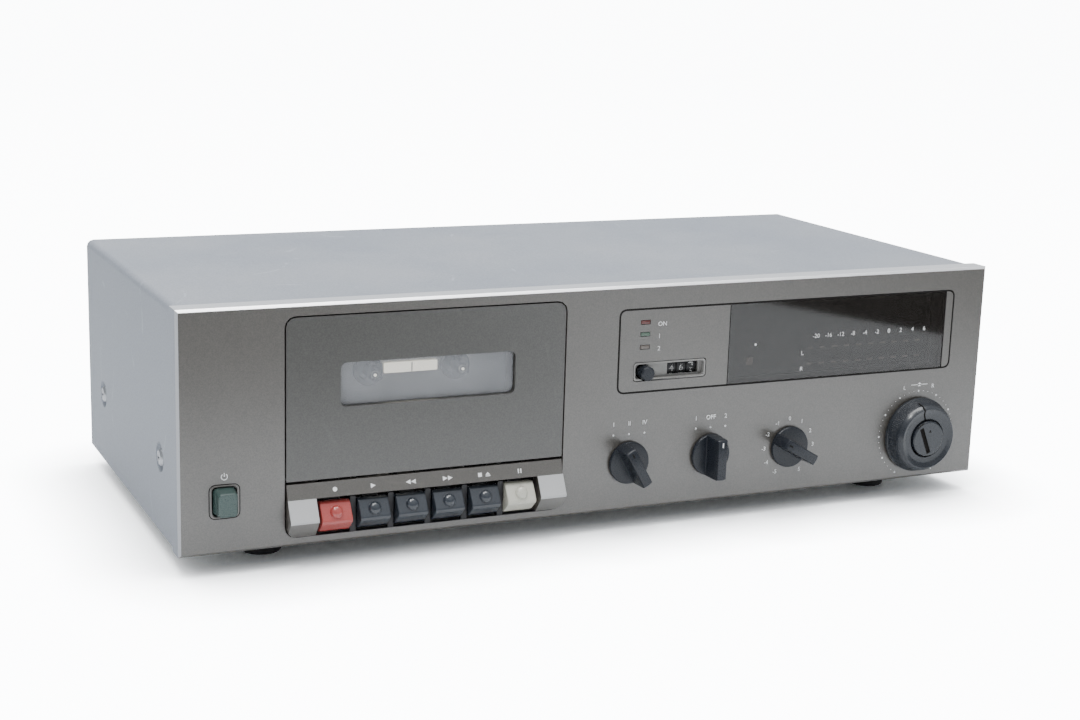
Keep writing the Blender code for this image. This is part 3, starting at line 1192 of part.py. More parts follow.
def groove(radius):
    """The rim of a pulley in the counter belt's plane, with a flat-bottomed groove."""
    front, back = COUNTER_BELT_Y - PULLEY_WIDTH / 2, COUNTER_BELT_Y + PULLEY_WIDTH / 2
    half = COUNTER_BELT / 2 + GAP
    return [(radius, front), (radius, COUNTER_BELT_Y - half), (radius - PULLEY_GROOVE, COUNTER_BELT_Y - half),
            (radius - PULLEY_GROOVE, COUNTER_BELT_Y + half), (radius, COUNTER_BELT_Y + half), (radius, back)]


def belt(name, left, left_radius, right, right_radius, thickness, width, middle):
    """A closed loop round two wheels, its inside a gap clear of both."""
    outer = belt_outline(left, left_radius + GAP + thickness, right, right_radius + GAP + thickness)
    inner = belt_outline(left, left_radius + GAP, right, right_radius + GAP)
    loop = prism(outer, middle - width / 2, middle + width / 2)
    hollow = prism(inner, middle - width / 2 - OVERRUN, middle + width / 2 + OVERRUN)
    piece(name, loop, RUBBER, cuts=[hollow])


def counter_belt():
    belt("counter_belt", (TAKEUP_X, REEL_Z), REEL_PULLEY_RADIUS - PULLEY_GROOVE,
         (COUNTER_PULLEY_X, WHEEL_Z), COUNTER_PULLEY_RADIUS - PULLEY_GROOVE,
         COUNTER_BELT, COUNTER_BELT, COUNTER_BELT_Y)


# Tape transport
def mechanism_plate():
    """The upright plate behind the cassette, with the capstan's bearing and the pinch arm's pin."""
    plate = box(PLATE_LEFT, PLATE_RIGHT, PLATE_Y, PLATE_BACK, PLATE_BOTTOM, PLATE_TOP)
    bearing = cylinder(BEARING_RADIUS, BEARING_FRONT, BEARING_END, (CAPSTAN_X, CAPSTAN_Z))
    pivot = (BAY_X + PINCH_PIVOT_OFFSET, PINCH_PIVOT_Z)
    pin = cylinder(PINCH_PIN, PINCH_ARM_FRONT - PINCH_ARM_THICKNESS / 2, PLATE_BACK - PLATE_THICKNESS / 2,
                   pivot, 1, ROUND // 2)
    shoulder = cylinder(PINCH_BOSS, PINCH_ARM_FRONT + PINCH_ARM_THICKNESS + GAP,
                        PLATE_BACK - PLATE_THICKNESS / 2, pivot)
    bore = cylinder(SMALL_SHAFT + GAP, BEARING_FRONT - OVERRUN, BEARING_END + OVERRUN,
                    (CAPSTAN_X, CAPSTAN_Z), 1, ROUND // 2)
    reels = [cylinder(SPINDLE_SHAFT + RUNNING, PLATE_Y - OVERRUN, PLATE_BACK + OVERRUN, (x, REEL_Z))
             for x in (SUPPLY_X, TAKEUP_X)]
    piece("mechanism_plate", plate, PLATED, joins=[bearing, pin, shoulder], cuts=[bore, *reels])


def spindles():
    """Reel spindles: a winged tip, a collar in front of the plate and a pulley behind it."""
    for name, x in (("supply_spindle", SUPPLY_X), ("takeup_spindle", TAKEUP_X)):
        root = PLATE_Y - GAP
        step = (root - SPINDLE_TIP) / 5
        profile = [(0, COUNTER_BELT_Y + PULLEY_WIDTH / 2), *groove(REEL_PULLEY_RADIUS)[::-1],
                   (SPINDLE_SHAFT, COUNTER_BELT_Y - PULLEY_WIDTH / 2), (SPINDLE_SHAFT, root),
                   (SPINDLE_COLLAR, root), (SPINDLE_COLLAR, root - step), (SPINDLE_RADIUS, root - step),
                   (SPINDLE_RADIUS, SPINDLE_TIP + step), (SPINDLE_RADIUS / 3, SPINDLE_TIP), (0, SPINDLE_TIP)]
        wings = []
        for turn in (0, 120, 240):
            wing = box(x - SPINDLE_WING / 2, x + SPINDLE_WING / 2, SPINDLE_TIP + step, root - step / 2,
                       REEL_Z + SPINDLE_RADIUS / 2, REEL_Z + SPINDLE_RADIUS + SPINDLE_WING)
            wings.append(spun(wing, turn, x, REEL_Z))
        piece(name, turned(profile, (x, REEL_Z)), DARK, joins=wings, pivot=(x, PLATE_Y, REEL_Z))


def reel_reflector():
    """The pale strip behind the window, in two fields, that shows up the tape against the light."""
    back = PLATE_Y - GAP
    half = REFLECTOR_WIDTH / 2
    strip = box(BAY_X - half, BAY_X + half, back - SHEET, back, REFLECTOR_BOTTOM,
                REFLECTOR_BOTTOM + REFLECTOR_HEIGHT)
    split = SHEET / 4
    groove_cut = box(BAY_X - split, BAY_X + split, back - SHEET - OVERRUN, back - SHEET / 2,
                     REFLECTOR_BOTTOM - OVERRUN, REFLECTOR_BOTTOM + REFLECTOR_HEIGHT + OVERRUN)
    piece("reel_reflector", strip, PALE, cuts=[groove_cut])


def capstan_flywheel():
    """The capstan and the heavy flywheel on its back end, as one turned piece."""
    back = FLYWHEEL_Y + FLYWHEEL_WIDTH
    web = FLYWHEEL_RADIUS * 4 / 5
    dish = FLYWHEEL_WIDTH / 4
    profile = [(0, BRACKET_Y - GAP), (SMALL_SHAFT, BRACKET_Y - GAP), (SMALL_SHAFT, back - dish),
               (web, back - dish), (web, back), (FLYWHEEL_RADIUS, back), (FLYWHEEL_RADIUS, FLYWHEEL_Y),
               (web, FLYWHEEL_Y), (web, FLYWHEEL_Y + dish), (SMALL_SHAFT, FLYWHEEL_Y + dish),
               (SMALL_SHAFT, CAPSTAN_FRONT), (0, CAPSTAN_FRONT)]
    piece("capstan_flywheel", turned(profile, (CAPSTAN_X, CAPSTAN_Z), 1, FINE_ROUND), BRIGHT,
          pivot=(CAPSTAN_X, FLYWHEEL_Y, CAPSTAN_Z))


def flywheel_bracket():
    """The plate behind the flywheel, on four posts from the mechanism plate. It carries the motor."""
    left, right = PLATE_LEFT + BRACKET_MARGIN, PLATE_RIGHT - BRACKET_MARGIN
    low, high = PLATE_BOTTOM + BRACKET_MARGIN / 2, PLATE_TOP - BRACKET_MARGIN * 2
    plate = box(left, right, BRACKET_Y, BRACKET_Y + PLATE_THICKNESS, low, high)
    inset = POST_RADIUS + SHEET
    posts = [cylinder(POST_RADIUS, PLATE_BACK + GAP, BRACKET_Y + PLATE_THICKNESS / 2, (x, z), 1, ROUND // 2)
             for x in (left + inset, right - inset) for z in (low + inset, high - inset)]
    boss = cylinder(MOTOR_BOSS + GAP, BRACKET_Y - OVERRUN, BRACKET_Y + PLATE_THICKNESS + OVERRUN,
                    (MOTOR_X, MOTOR_Z))
    piece("flywheel_bracket", plate, PLATED, joins=posts, cuts=[boss])


def drive_motor():
    """A can motor on the back of the bracket, its boss through the bracket's hole."""
    front = BRACKET_Y + PLATE_THICKNESS + GAP
    nose = BRACKET_Y - GAP
    back = front + MOTOR_LENGTH
    bore = SMALL_SHAFT + GAP
    edge = SHEET
    profile = [(0, back), (MOTOR_RADIUS - edge, back), (MOTOR_RADIUS, back - edge), (MOTOR_RADIUS, front),
               (MOTOR_BOSS, front), (MOTOR_BOSS, nose), (bore, nose), (bore, front + MOTOR_SHAFT_DEPTH + GAP),
               (0, front + MOTOR_SHAFT_DEPTH + GAP)]
    piece("drive_motor", turned(profile, (MOTOR_X, MOTOR_Z), 1, FINE_ROUND), PLATED)


def motor_pulley():
    front = BRACKET_Y + PLATE_THICKNESS + GAP
    back = FLYWHEEL_Y + FLYWHEEL_WIDTH
    rim = MOTOR_PULLEY_RADIUS + PULLEY_GROOVE
    middle = FLYWHEEL_Y + FLYWHEEL_WIDTH / 2
    half = DRIVE_BELT_WIDTH / 2 + GAP
    profile = [(0, front + MOTOR_SHAFT_DEPTH), (SMALL_SHAFT, front + MOTOR_SHAFT_DEPTH), (SMALL_SHAFT, back),
               (rim, back), (rim, middle + half), (MOTOR_PULLEY_RADIUS, middle + half),
               (MOTOR_PULLEY_RADIUS, middle - half), (rim, middle - half), (rim, FLYWHEEL_Y),
               (0, FLYWHEEL_Y)]
    piece("motor_pulley", turned(profile, (MOTOR_X, MOTOR_Z)), BRASS, pivot=(MOTOR_X, middle, MOTOR_Z))


def drive_belt():
    belt("drive_belt", (MOTOR_X, MOTOR_Z), MOTOR_PULLEY_RADIUS, (CAPSTAN_X, CAPSTAN_Z), FLYWHEEL_RADIUS,
         DRIVE_BELT, DRIVE_BELT_WIDTH, FLYWHEEL_Y + FLYWHEEL_WIDTH / 2)


def pinch_arm():
    """A lever on the mechanism plate's pin, with the roller's own pin at its free end."""
    pivot_x = BAY_X + PINCH_PIVOT_OFFSET
    front, back = PINCH_ARM_FRONT, PINCH_ARM_FRONT + PINCH_ARM_THICKNESS
    half = PINCH_BOSS * 2 / 3
    bar = prism([(CAPSTAN_X, ROLLER_Z - half), (pivot_x, PINCH_PIVOT_Z - half),
                 (pivot_x, PINCH_PIVOT_Z + half), (CAPSTAN_X, ROLLER_Z + half)], front, back)
    bosses = [cylinder(PINCH_BOSS, front, back, (pivot_x, PINCH_PIVOT_Z)),
              cylinder(half, front, back, (CAPSTAN_X, ROLLER_Z), 1, ROUND // 2)]
    pin_front = TAPE_Y - ROLLER_WIDTH / 2 - GAP
    pin = cylinder(SMALL_SHAFT, pin_front, front + PINCH_ARM_THICKNESS / 2, (CAPSTAN_X, ROLLER_Z), 1,
                   ROUND // 2)
    bore = cylinder(PINCH_PIN + GAP, front - OVERRUN, back + OVERRUN, (pivot_x, PINCH_PIVOT_Z), 1, ROUND // 2)
    piece("pinch_arm", bar, PLATED, joins=[*bosses, pin], cuts=[bore],
          pivot=(pivot_x, front, PINCH_PIVOT_Z))


def pinch_roller():
    roller = ring(SMALL_SHAFT + GAP, ROLLER_RADIUS, TAPE_Y - ROLLER_WIDTH / 2, TAPE_Y + ROLLER_WIDTH / 2,
                  (CAPSTAN_X, ROLLER_Z))
    piece("pinch_roller", roller, RUBBER, pivot=(CAPSTAN_X, TAPE_Y, ROLLER_Z))


def head_bridge():
    """The sliding plate that lifts the heads, with two runners against the mechanism plate."""
    left, right = BAY_X - BRIDGE_LEFT, BAY_X + BRIDGE_RIGHT
    back = BRIDGE_Y + BRIDGE_THICKNESS
    plate = box(left, right, BRIDGE_Y, back, BRIDGE_BOTTOM, BRIDGE_TOP)
    runners = [box(x, x + BRIDGE_PAD, back - BRIDGE_THICKNESS / 2, PLATE_Y - GAP, BRIDGE_BOTTOM, BRIDGE_TOP)
               for x in (left, right - BRIDGE_PAD)]
    piece("head_bridge", plate, PLATED, joins=runners, pivot=(BAY_X, BRIDGE_Y, BRIDGE_BOTTOM))


def heads():
    """The record and play head in the middle, and the erase head ahead of it on the supply side."""
    back = BRIDGE_Y - GAP
    for name, x, width, top in (("record_play_head", BAY_X, HEAD_WIDTH, HEAD_TOP),
                                ("erase_head", BAY_X - ERASE_OFFSET, ERASE_WIDTH, ERASE_TOP)):
        outline = rounded(x - width / 2, x + width / 2, HEAD_BOTTOM, top, width / 3)
        block = prism(outline, HEAD_FRONT, back)
        foot = box(x - width / 2, x + width / 2, HEAD_FRONT, back, HEAD_BOTTOM, HEAD_BOTTOM + width / 2)
        piece(name, block, BRIGHT, joins=[foot], pivot=(x, BRIDGE_Y, BRIDGE_BOTTOM))


front_panel()
front_subchassis()
top_cover()
cover_screws()
bottom_pan()
feet()
rear_panel()
jack_block()
mains_gland()
transformer()
main_board()
cassette_door()
door_window()
cassette_holder()
key_bezel()
keys()
key_shaft()
power_button()
power_switch()
selector_knobs()
record_level_knob()
balance_knob()
control_board()
display_panel()
meter_window()
meter_board()
counter_frame()
counter_wheels()
counter_reset_button()
counter_pulley()
counter_belt()
mechanism_plate()
spindles()
reel_reflector()
capstan_flywheel()
flywheel_bracket()
drive_motor()
motor_pulley()
drive_belt()
pinch_arm()
pinch_roller()
head_bridge()
heads()
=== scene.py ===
# %% [markdown]
# # A front-loading cassette deck
# The deck is a full-width hi-fi component: a painted sheet cover, a deep front panel, a hinged cassette
# door with a tinted window, six piano keys, four knobs, a counter and a smoked meter window. The packed
# model gives every solid its place, and this notebook gives the solids their looks: rounded edges,
# finishes with grain and wear, printed marks, light and a camera.

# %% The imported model
import math
import json

import bmesh
import bpy
import numpy as np
from mathutils import Matrix, Vector


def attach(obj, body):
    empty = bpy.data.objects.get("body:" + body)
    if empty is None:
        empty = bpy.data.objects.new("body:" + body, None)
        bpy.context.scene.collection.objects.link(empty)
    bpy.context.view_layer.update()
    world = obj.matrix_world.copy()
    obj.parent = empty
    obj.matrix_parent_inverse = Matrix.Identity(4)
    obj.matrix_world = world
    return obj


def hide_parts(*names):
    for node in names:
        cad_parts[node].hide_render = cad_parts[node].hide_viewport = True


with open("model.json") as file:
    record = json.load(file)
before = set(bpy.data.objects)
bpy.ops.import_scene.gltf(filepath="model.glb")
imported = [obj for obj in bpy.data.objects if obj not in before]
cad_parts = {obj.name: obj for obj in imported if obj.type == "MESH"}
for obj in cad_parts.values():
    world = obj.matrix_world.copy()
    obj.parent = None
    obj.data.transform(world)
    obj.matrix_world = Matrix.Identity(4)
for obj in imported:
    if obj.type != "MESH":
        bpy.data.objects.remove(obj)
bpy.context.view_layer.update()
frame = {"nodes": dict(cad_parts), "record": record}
nodes, record = frame["nodes"], frame["record"]
body_of = {node: body for body, held in record["behaviour"]["bodies"].items() for node in held}
slot_of = {part["node"]: part["material_slot"] for part in record["subparts"]}

# %% [markdown]
# All the sizes below are millimetres in the front panel's own frame: X from its middle, Y back from its
# front face and Z up from its bottom edge. One shift and one factor bring them into the model's frame,
# so a number here can be read straight off the real panel.

# %% Millimetres from the middle of the front panel's bottom edge
MM = 0.001
PANEL_ORIGIN = np.array([0, -95, 10])


def placed(points):
    """Panel millimetres to model metres: (point + origin) * 0.001."""
    return (np.asarray(points, float) + PANEL_ORIGIN) * MM


print("the panel's bottom middle is at", placed((0, 0, 0)).round(3).tolist(), "m in the model")


# %% [markdown]
# The camera stands where a solved camera puts the photograph's: left of the deck, above it and a little
# under 1 m away. Its three axes are given outright, because a rotation matrix made of them has no
# ambiguity, where three Euler angles would.

# %% Camera
CAMERA_RIGHT = Vector((0.90878, -0.41624, 0.02983))
CAMERA_UP = Vector((0.06529, 0.21241, 0.97500))
CAMERA_FORWARD = Vector((0.41216, 0.88410, -0.22021))
CAMERA_PLACE = Vector((-0.3834, -0.8288, 0.2694))
camera_data = bpy.data.cameras.new("camera")
camera_data.sensor_width = 36
camera_data.lens = 60.2
camera = bpy.data.objects.new("camera", camera_data)
turn = Matrix((CAMERA_RIGHT, CAMERA_UP, -CAMERA_FORWARD)).transposed().to_4x4()
camera.matrix_world = Matrix.Translation(CAMERA_PLACE) @ turn
bpy.context.scene.collection.objects.link(camera)
bpy.context.scene.camera = camera
print(f"camera: {camera_data.lens:.1f} mm lens, {CAMERA_PLACE.length:.2f} m from the model's origin")

# %% [markdown]
# Every new shape here is a grid of points worked out as one array: rings of points that follow each
# other, joined into quads. The two helpers below turn such arrays into meshes. Doubles are merged
# before the faces are turned outwards, because a pole, where a whole ring has shrunk to a point, is
# closed only after the merge.


# %% Arrays to meshes
def grid_quads(rows, columns, wrap):
    """The quads of a grid whose point (i, j) has number i * columns + j; wrap joins the last column
    to the first."""
    index = np.arange(rows * columns).reshape(rows, columns)
    if wrap:
        index = np.concatenate([index, index[:, :1]], axis=1)
    return np.stack([index[:-1, :-1], index[:-1, 1:], index[1:, 1:], index[1:, :-1]], -1).reshape(-1, 4)


def new_object(name, shells, material, sharp_degrees=40):
    """A mesh object from (points, faces) shells, faces outwards, smooth below the sharp angle."""
    points, faces, count = [], [], 0
    for shell_points, shell_faces in shells:
        flat = np.asarray(shell_points, float).reshape(-1, 3)
        points.append(flat)
        faces += [[corner + count for corner in face] for face in shell_faces]
        count += len(flat)
    mesh = bpy.data.meshes.new(name)
    mesh.from_pydata(np.concatenate(points).tolist(), [], faces)
    work = bmesh.new()
    work.from_mesh(mesh)
    bmesh.ops.remove_doubles(work, verts=work.verts, dist=1e-7)
    bmesh.ops.recalc_face_normals(work, faces=work.faces)
    work.to_mesh(mesh)
    work.free()
    mesh.shade_smooth()
    mesh.set_sharp_from_angle(angle=math.radians(sharp_degrees))
    mesh.materials.append(material)
    thing = bpy.data.objects.new(name, mesh)
    bpy.context.scene.collection.objects.link(thing)
    return thing


def capped(rings):
    """A closed shell through rings of points, with one face over each end."""
    count, columns = rings.shape[:2]
    last = (count - 1) * columns
    ends = [list(range(columns)), list(range(last, last + columns))]
    return rings, grid_quads(count, columns, True).tolist() + ends


# %% [markdown]
# Three families cover the deck's turned, moulded and pressed parts. A softened outline replaces each
# corner with a quadratic Bezier curve. A turned part is a profile of radius and depth, revolved. A
# moulded bar is an outline carried along a straight path, pulled in at both ends along a quarter
# circle, which is what rounds the edges of its end faces.


# %% Outlines and the surfaces made from them
def softened(corners, radius, steps=8):
    """Each corner B of a closed line of points becomes the curve (1-t)^2 A + 2t(1-t) B + t^2 C, where A and C
    lie on its two sides, a radius away from B or halfway along a shorter side."""
    corners = np.asarray(corners, float)
    before, after = np.roll(corners, 1, 0) - corners, np.roll(corners, -1, 0) - corners
    cut_before = np.minimum(radius, np.linalg.norm(before, axis=1) / 2)
    cut_after = np.minimum(radius, np.linalg.norm(after, axis=1) / 2)
    first = corners + before / np.linalg.norm(before, axis=1)[:, None] * cut_before[:, None]
    last = corners + after / np.linalg.norm(after, axis=1)[:, None] * cut_after[:, None]
    t = np.linspace(0, 1, steps)[None, :, None]
    curves = (1 - t) ** 2 * first[:, None] + 2 * t * (1 - t) * corners[:, None] + t ** 2 * last[:, None]
    return curves.reshape(-1, 2)


def box_outline(left, right, low, high, radius):
    """The rectangle from (left, low) to (right, high) with its four corners softened."""
    return softened([(left, low), (right, low), (right, high), (left, high)], radius)


def outward(outline):
    """The unit normals of a closed outline: its direction turned by -90 degrees, or by 90 degrees
    where the outline runs clockwise and its signed area is negative."""
    along = np.roll(outline, -1, 0) - np.roll(outline, 1, 0)
    normal = np.stack([along[:, 1], -along[:, 0]], 1)
    normal /= np.maximum(np.linalg.norm(normal, axis=1), 1e-9)[:, None]
    x, y = outline.T
    area = np.sum(x * np.roll(y, -1) - np.roll(x, -1) * y)
    return normal * math.copysign(1, area)


def lifted(flat, depth, axis):
    """A flat (u, v) outline and its place on the axis: 0 gives (place, u, v) and 1 gives (u, place, v)."""
    u, v = flat[..., 0], flat[..., 1]
    depth = np.broadcast_to(depth, u.shape)
    return np.stack((depth, u, v) if axis == 0 else (u, depth, v), -1)


def moulded_bar(outline, low, high, edge, axis, steps=6):
    """The outline carried from low to high: place = low + edge (1 - sin t), inset = edge (1 - cos t)."""
    t = np.linspace(math.pi / 2, 0, steps)
    place = np.concatenate([low + edge * (1 - np.sin(t)), high - edge * (1 - np.sin(t[::-1]))])
    inset = np.concatenate([edge * (1 - np.cos(t)), edge * (1 - np.cos(t[::-1]))])
    flat = outline[None] - outward(outline)[None] * inset[:, None, None]
    return capped(placed(lifted(flat, place[:, None], axis)))


def turned(profile, centre, segments=96, axis=1, ripple=None):
    """A profile of (radius, depth) revolved: u = r cos a, v = r sin a. ripple(a, depth, r) is added to
    r, and a profile with no point on the axis is closed into a ring."""
    profile = np.asarray(profile, float)
    angle = np.linspace(0, math.tau, segments, endpoint=False)
    radius = np.repeat(profile[:, :1], segments, 1)
    depth = np.repeat(profile[:, 1:], segments, 1)
    if ripple:
        radius = radius + ripple(angle[None], depth, radius)
    flat = np.stack([centre[0] + radius * np.cos(angle), centre[1] + radius * np.sin(angle)], -1)
    rings = placed(lifted(flat, depth, axis))
    if profile[0, 0] and profile[-1, 0]:
        rings = np.concatenate([rings, rings[:1]])
    return rings, grid_quads(len(rings), segments, True).tolist()


# %% [markdown]
# Shader graphs are written with two small helpers: one adds a node with its values and links, and one
# builds a node group with named inputs and outputs. A group stands for one effect, such as grain or
# edge wear, and each finish places it with its own numbers.


# %% Shader helpers
def wire(tree, kind, inputs=None, **settings):
    """A node with its settings, and each named or numbered input set to a value or linked to a socket."""
    made = tree.nodes.new(kind)
    for key, value in settings.items():
        setattr(made, key, value)
    for key, value in (inputs or {}).items():
        if isinstance(value, bpy.types.NodeSocket):
            tree.links.new(value, made.inputs[key])
        else:
            made.inputs[key].default_value = value
    return made


def calc(tree, operation, *values, clamp=False):
    """The result of one sum on values or sockets, such as a * b + c for MULTIPLY_ADD."""
    made = wire(tree, "ShaderNodeMath", dict(enumerate(values)), operation=operation, use_clamp=clamp)
    return made.outputs[0]


def blended(tree, factor, first, second):
    """A colour between two: first * (1 - factor) + second * factor."""
    made = wire(tree, "ShaderNodeMix", {0: factor, 6: first, 7: second}, data_type="RGBA")
    return made.outputs[2]


def remap(tree, value, low, high, to_low=0.0, to_high=1.0):
    """to_low + (to_high - to_low) * (value - low) / (high - low), held between to_low and to_high."""
    made = wire(tree, "ShaderNodeMapRange", {0: value, 1: low, 2: high, 3: to_low, 4: to_high})
    return made.outputs[0]


def noise(tree, vector, scale, detail=3.0, roughness=0.55):
    """Smooth noise about 0.5: scale bumps to a unit, and detail more octaves, each roughness as high."""
    values = {"Vector": vector, "Scale": scale, "Detail": detail, "Roughness": roughness}
    return wire(tree, "ShaderNodeTexNoise", values).outputs[0]


def new_group(name, inputs, outputs):
    """An empty shader group. Inputs are given by their values: a tuple makes a vector, a number a float."""
    tree = bpy.data.node_groups.new(name, "ShaderNodeTree")
    for title, value in inputs.items():
        kind = "NodeSocketVector" if isinstance(value, tuple) else "NodeSocketFloat"
        tree.interface.new_socket(title, in_out="INPUT", socket_type=kind).default_value = value
    for title, kind in outputs.items():
        tree.interface.new_socket(title, in_out="OUTPUT", socket_type=kind)
    return tree, tree.nodes.new("NodeGroupInput").outputs, tree.nodes.new("NodeGroupOutput").inputs


def place_group(tree, group, **inputs):
    """A node of the group with its own values; gives its outputs by name."""
    made = tree.nodes.new("ShaderNodeGroup")
    made.node_tree = group
    for title, value in inputs.items():
        made.inputs[title].default_value = value
    return made.outputs


# %% [markdown]
# Grain is what separates paint, moulded plastic and brushed steel at arm's length. One group gives all
# three: noise whose frequency is set for each axis. Equal frequencies give the speckle of paint, and
# one low frequency among high ones stretches the specks into brush strokes along that axis.

# %% Grain group
grain_group, given, taken = new_group("grain", {"Frequency": (1.0, 1.0, 1.0), "Fineness": 3.0},
                                      {"Height": "NodeSocketFloat", "Speck": "NodeSocketFloat"})
spot = wire(grain_group, "ShaderNodeTexCoord").outputs["Object"]
stretched = wire(grain_group, "ShaderNodeVectorMath", {0: spot, 1: given["Frequency"]},
                 operation="MULTIPLY").outputs[0]
height = noise(grain_group, stretched, 1.0, given["Fineness"], 0.6)
shifted = wire(grain_group, "ShaderNodeVectorMath", {0: stretched, 1: (1.9, 1.9, 1.9), 2: (7.3, 2.1, 5.7)},
               operation="MULTIPLY_ADD").outputs[0]
speck = remap(grain_group, noise(grain_group, shifted, 1.0, 2.0), 0.35, 0.65)
grain_group.links.new(height, taken["Height"])
grain_group.links.new(speck, taken["Speck"])
print("grain:", len(grain_group.nodes), "nodes")

# %% [markdown]
# Paint and plastic rub thin along their edges. The Bevel node gives the normal that a rounded edge
# would have, so where it leans away from the true normal there is an edge nearby. The mask is broken
# up with noise, because real wear is never an even line.

# %% Edge wear group
wear_group, given, taken = new_group("edge_wear", {"Radius": 0.0004, "Blotch": 60.0},
                                     {"Mask": "NodeSocketFloat", "Normal": "NodeSocketVector"})
soft = wire(wear_group, "ShaderNodeBevel", {"Radius": given["Radius"]}, samples=4).outputs[0]
true = wire(wear_group, "ShaderNodeNewGeometry").outputs["True Normal"]
lean = wire(wear_group, "ShaderNodeVectorMath", {0: soft, 1: true}, operation="DOT_PRODUCT").outputs["Value"]
spot = wire(wear_group, "ShaderNodeTexCoord").outputs["Object"]
patchy = remap(wear_group, noise(wear_group, spot, given["Blotch"], 4.0), 0.38, 0.62)
edge = remap(wear_group, lean, 0.93, 0.72)
wear_group.links.new(calc(wear_group, "MULTIPLY", edge, patchy, clamp=True), taken["Mask"])
wear_group.links.new(soft, taken["Normal"])
print("edge wear:", len(wear_group.nodes), "nodes")

# %% [markdown]
# Dust lies on what faces up, in soft clouds. Hairlines are the fine scratches of wiping and stacking:
# a thin line is drawn where a slow noise crosses one level, and a second noise leaves only bits of it.

# %% Dust group
dust_group, given, taken = new_group("dust", {"Cloud": 9.0}, {"Mask": "NodeSocketFloat"})
spot = wire(dust_group, "ShaderNodeTexCoord").outputs["Object"]
facing = wire(dust_group, "ShaderNodeSeparateXYZ",
              {0: wire(dust_group, "ShaderNodeNewGeometry").outputs["Normal"]}).outputs[2]
cloud = remap(dust_group, noise(dust_group, spot, given["Cloud"], 5.0, 0.65), 0.35, 0.75)
settled = calc(dust_group, "MULTIPLY", remap(dust_group, facing, 0.3, 0.95), cloud, clamp=True)
dust_group.links.new(settled, taken["Mask"])
print("dust:", len(dust_group.nodes), "nodes")

# %% Hairline group
line_group, given, taken = new_group("hairlines", {"Frequency": 14.0, "Width": 0.004},
                                     {"Mask": "NodeSocketFloat"})
spot = wire(line_group, "ShaderNodeTexCoord").outputs["Object"]
slow = noise(line_group, spot, given["Frequency"], 1.0, 0.3)
away = calc(line_group, "ABSOLUTE", calc(line_group, "SUBTRACT", slow, 0.5))
thin = calc(line_group, "LESS_THAN", away, given["Width"])
bits = remap(line_group, noise(line_group, spot, 46.0, 2.0), 0.56, 0.62)
line_group.links.new(calc(line_group, "MULTIPLY", thin, bits, clamp=True), taken["Mask"])
print("hairlines:", len(line_group.nodes), "nodes")

# %% [markdown]
# One function lays the four effects over a Principled shader. Specks shift the colour, wear shows the
# lighter edge, dust greys it and roughens it, and grain height goes through Bump. What is the same all
# over, such as metallic or coat, is set on the shader's own socket.

# %% A finish from the four effects
DUST_COLOUR = (0.5, 0.49, 0.46)


def finish(name, colour, roughness, metallic=0.0, frequency=900, fineness=3.0, contrast=0.06, relief=0.01,
           wear=0.25, edge_colour=None, radius=0.35, dust=0.08, lines=0.12, matt_span=0.08, specular=0.5,
           coat=0.0, coat_roughness=0.08, coat_ior=1.5, alpha=1.0):
    """A material whose colour is colour * (1 - contrast) to colour * (1 + contrast), by the specks,
    mixed with the worn edge's colour by wear and lines, and with the dust's by dust. Frequency, in
    specks to a metre, is one number or one for each axis; relief and radius are millimetres."""
    material = bpy.data.materials.new(name)
    material.use_nodes = True
    tree = material.node_tree
    shader = tree.nodes["Principled BSDF"]
    frequency = np.broadcast_to(frequency, 3).astype(float).tolist()
    grain = place_group(tree, grain_group, Frequency=frequency, Fineness=fineness)
    edges = place_group(tree, wear_group, Radius=radius * MM)
    settled = place_group(tree, dust_group)
    hairs = place_group(tree, line_group)
    colour = np.array(colour)
    worn = tuple(edge_colour or np.clip(colour * 1.7 + 0.03, 0, 1)) + (1,)
    base = blended(tree, grain["Speck"], (*(colour * (1 - contrast)), 1), (*(colour * (1 + contrast)), 1))
    base = blended(tree, calc(tree, "MULTIPLY", edges["Mask"], wear), base, worn)
    base = blended(tree, calc(tree, "MULTIPLY", hairs["Mask"], lines), base, worn)
    base = blended(tree, calc(tree, "MULTIPLY", settled["Mask"], dust), base, (*DUST_COLOUR, 1))
    tree.links.new(base, shader.inputs["Base Color"])
    rough = calc(tree, "MULTIPLY_ADD", grain["Speck"], matt_span, roughness - matt_span / 2)
    rough = calc(tree, "MULTIPLY_ADD", settled["Mask"], dust, rough, clamp=True)
    tree.links.new(rough, shader.inputs["Roughness"])
    bump = wire(tree, "ShaderNodeBump", {"Strength": 1.0, "Distance": relief * MM, "Height": grain["Height"],
                                         "Normal": edges["Normal"]})
    tree.links.new(bump.outputs[0], shader.inputs["Normal"])
    shader.inputs["Metallic"].default_value = metallic
    shader.inputs["Specular IOR Level"].default_value = specular
    shader.inputs["Coat Weight"].default_value = coat
    shader.inputs["Coat Roughness"].default_value = coat_roughness
    shader.inputs["Coat IOR"].default_value = coat_ior
    shader.inputs["Alpha"].default_value = alpha
    return material


# %% [markdown]
# The finishes of this deck. The front panel is a satin grey with a very fine speckle under a strong but
# blurred clear coat, which makes it brighten towards the light as satin metal does, and the door is a
# shade darker. The cover is a cooler grey with a texture that hides handling marks. Keys are glossy
# mouldings under a sharp coat, and knobs satin ones.

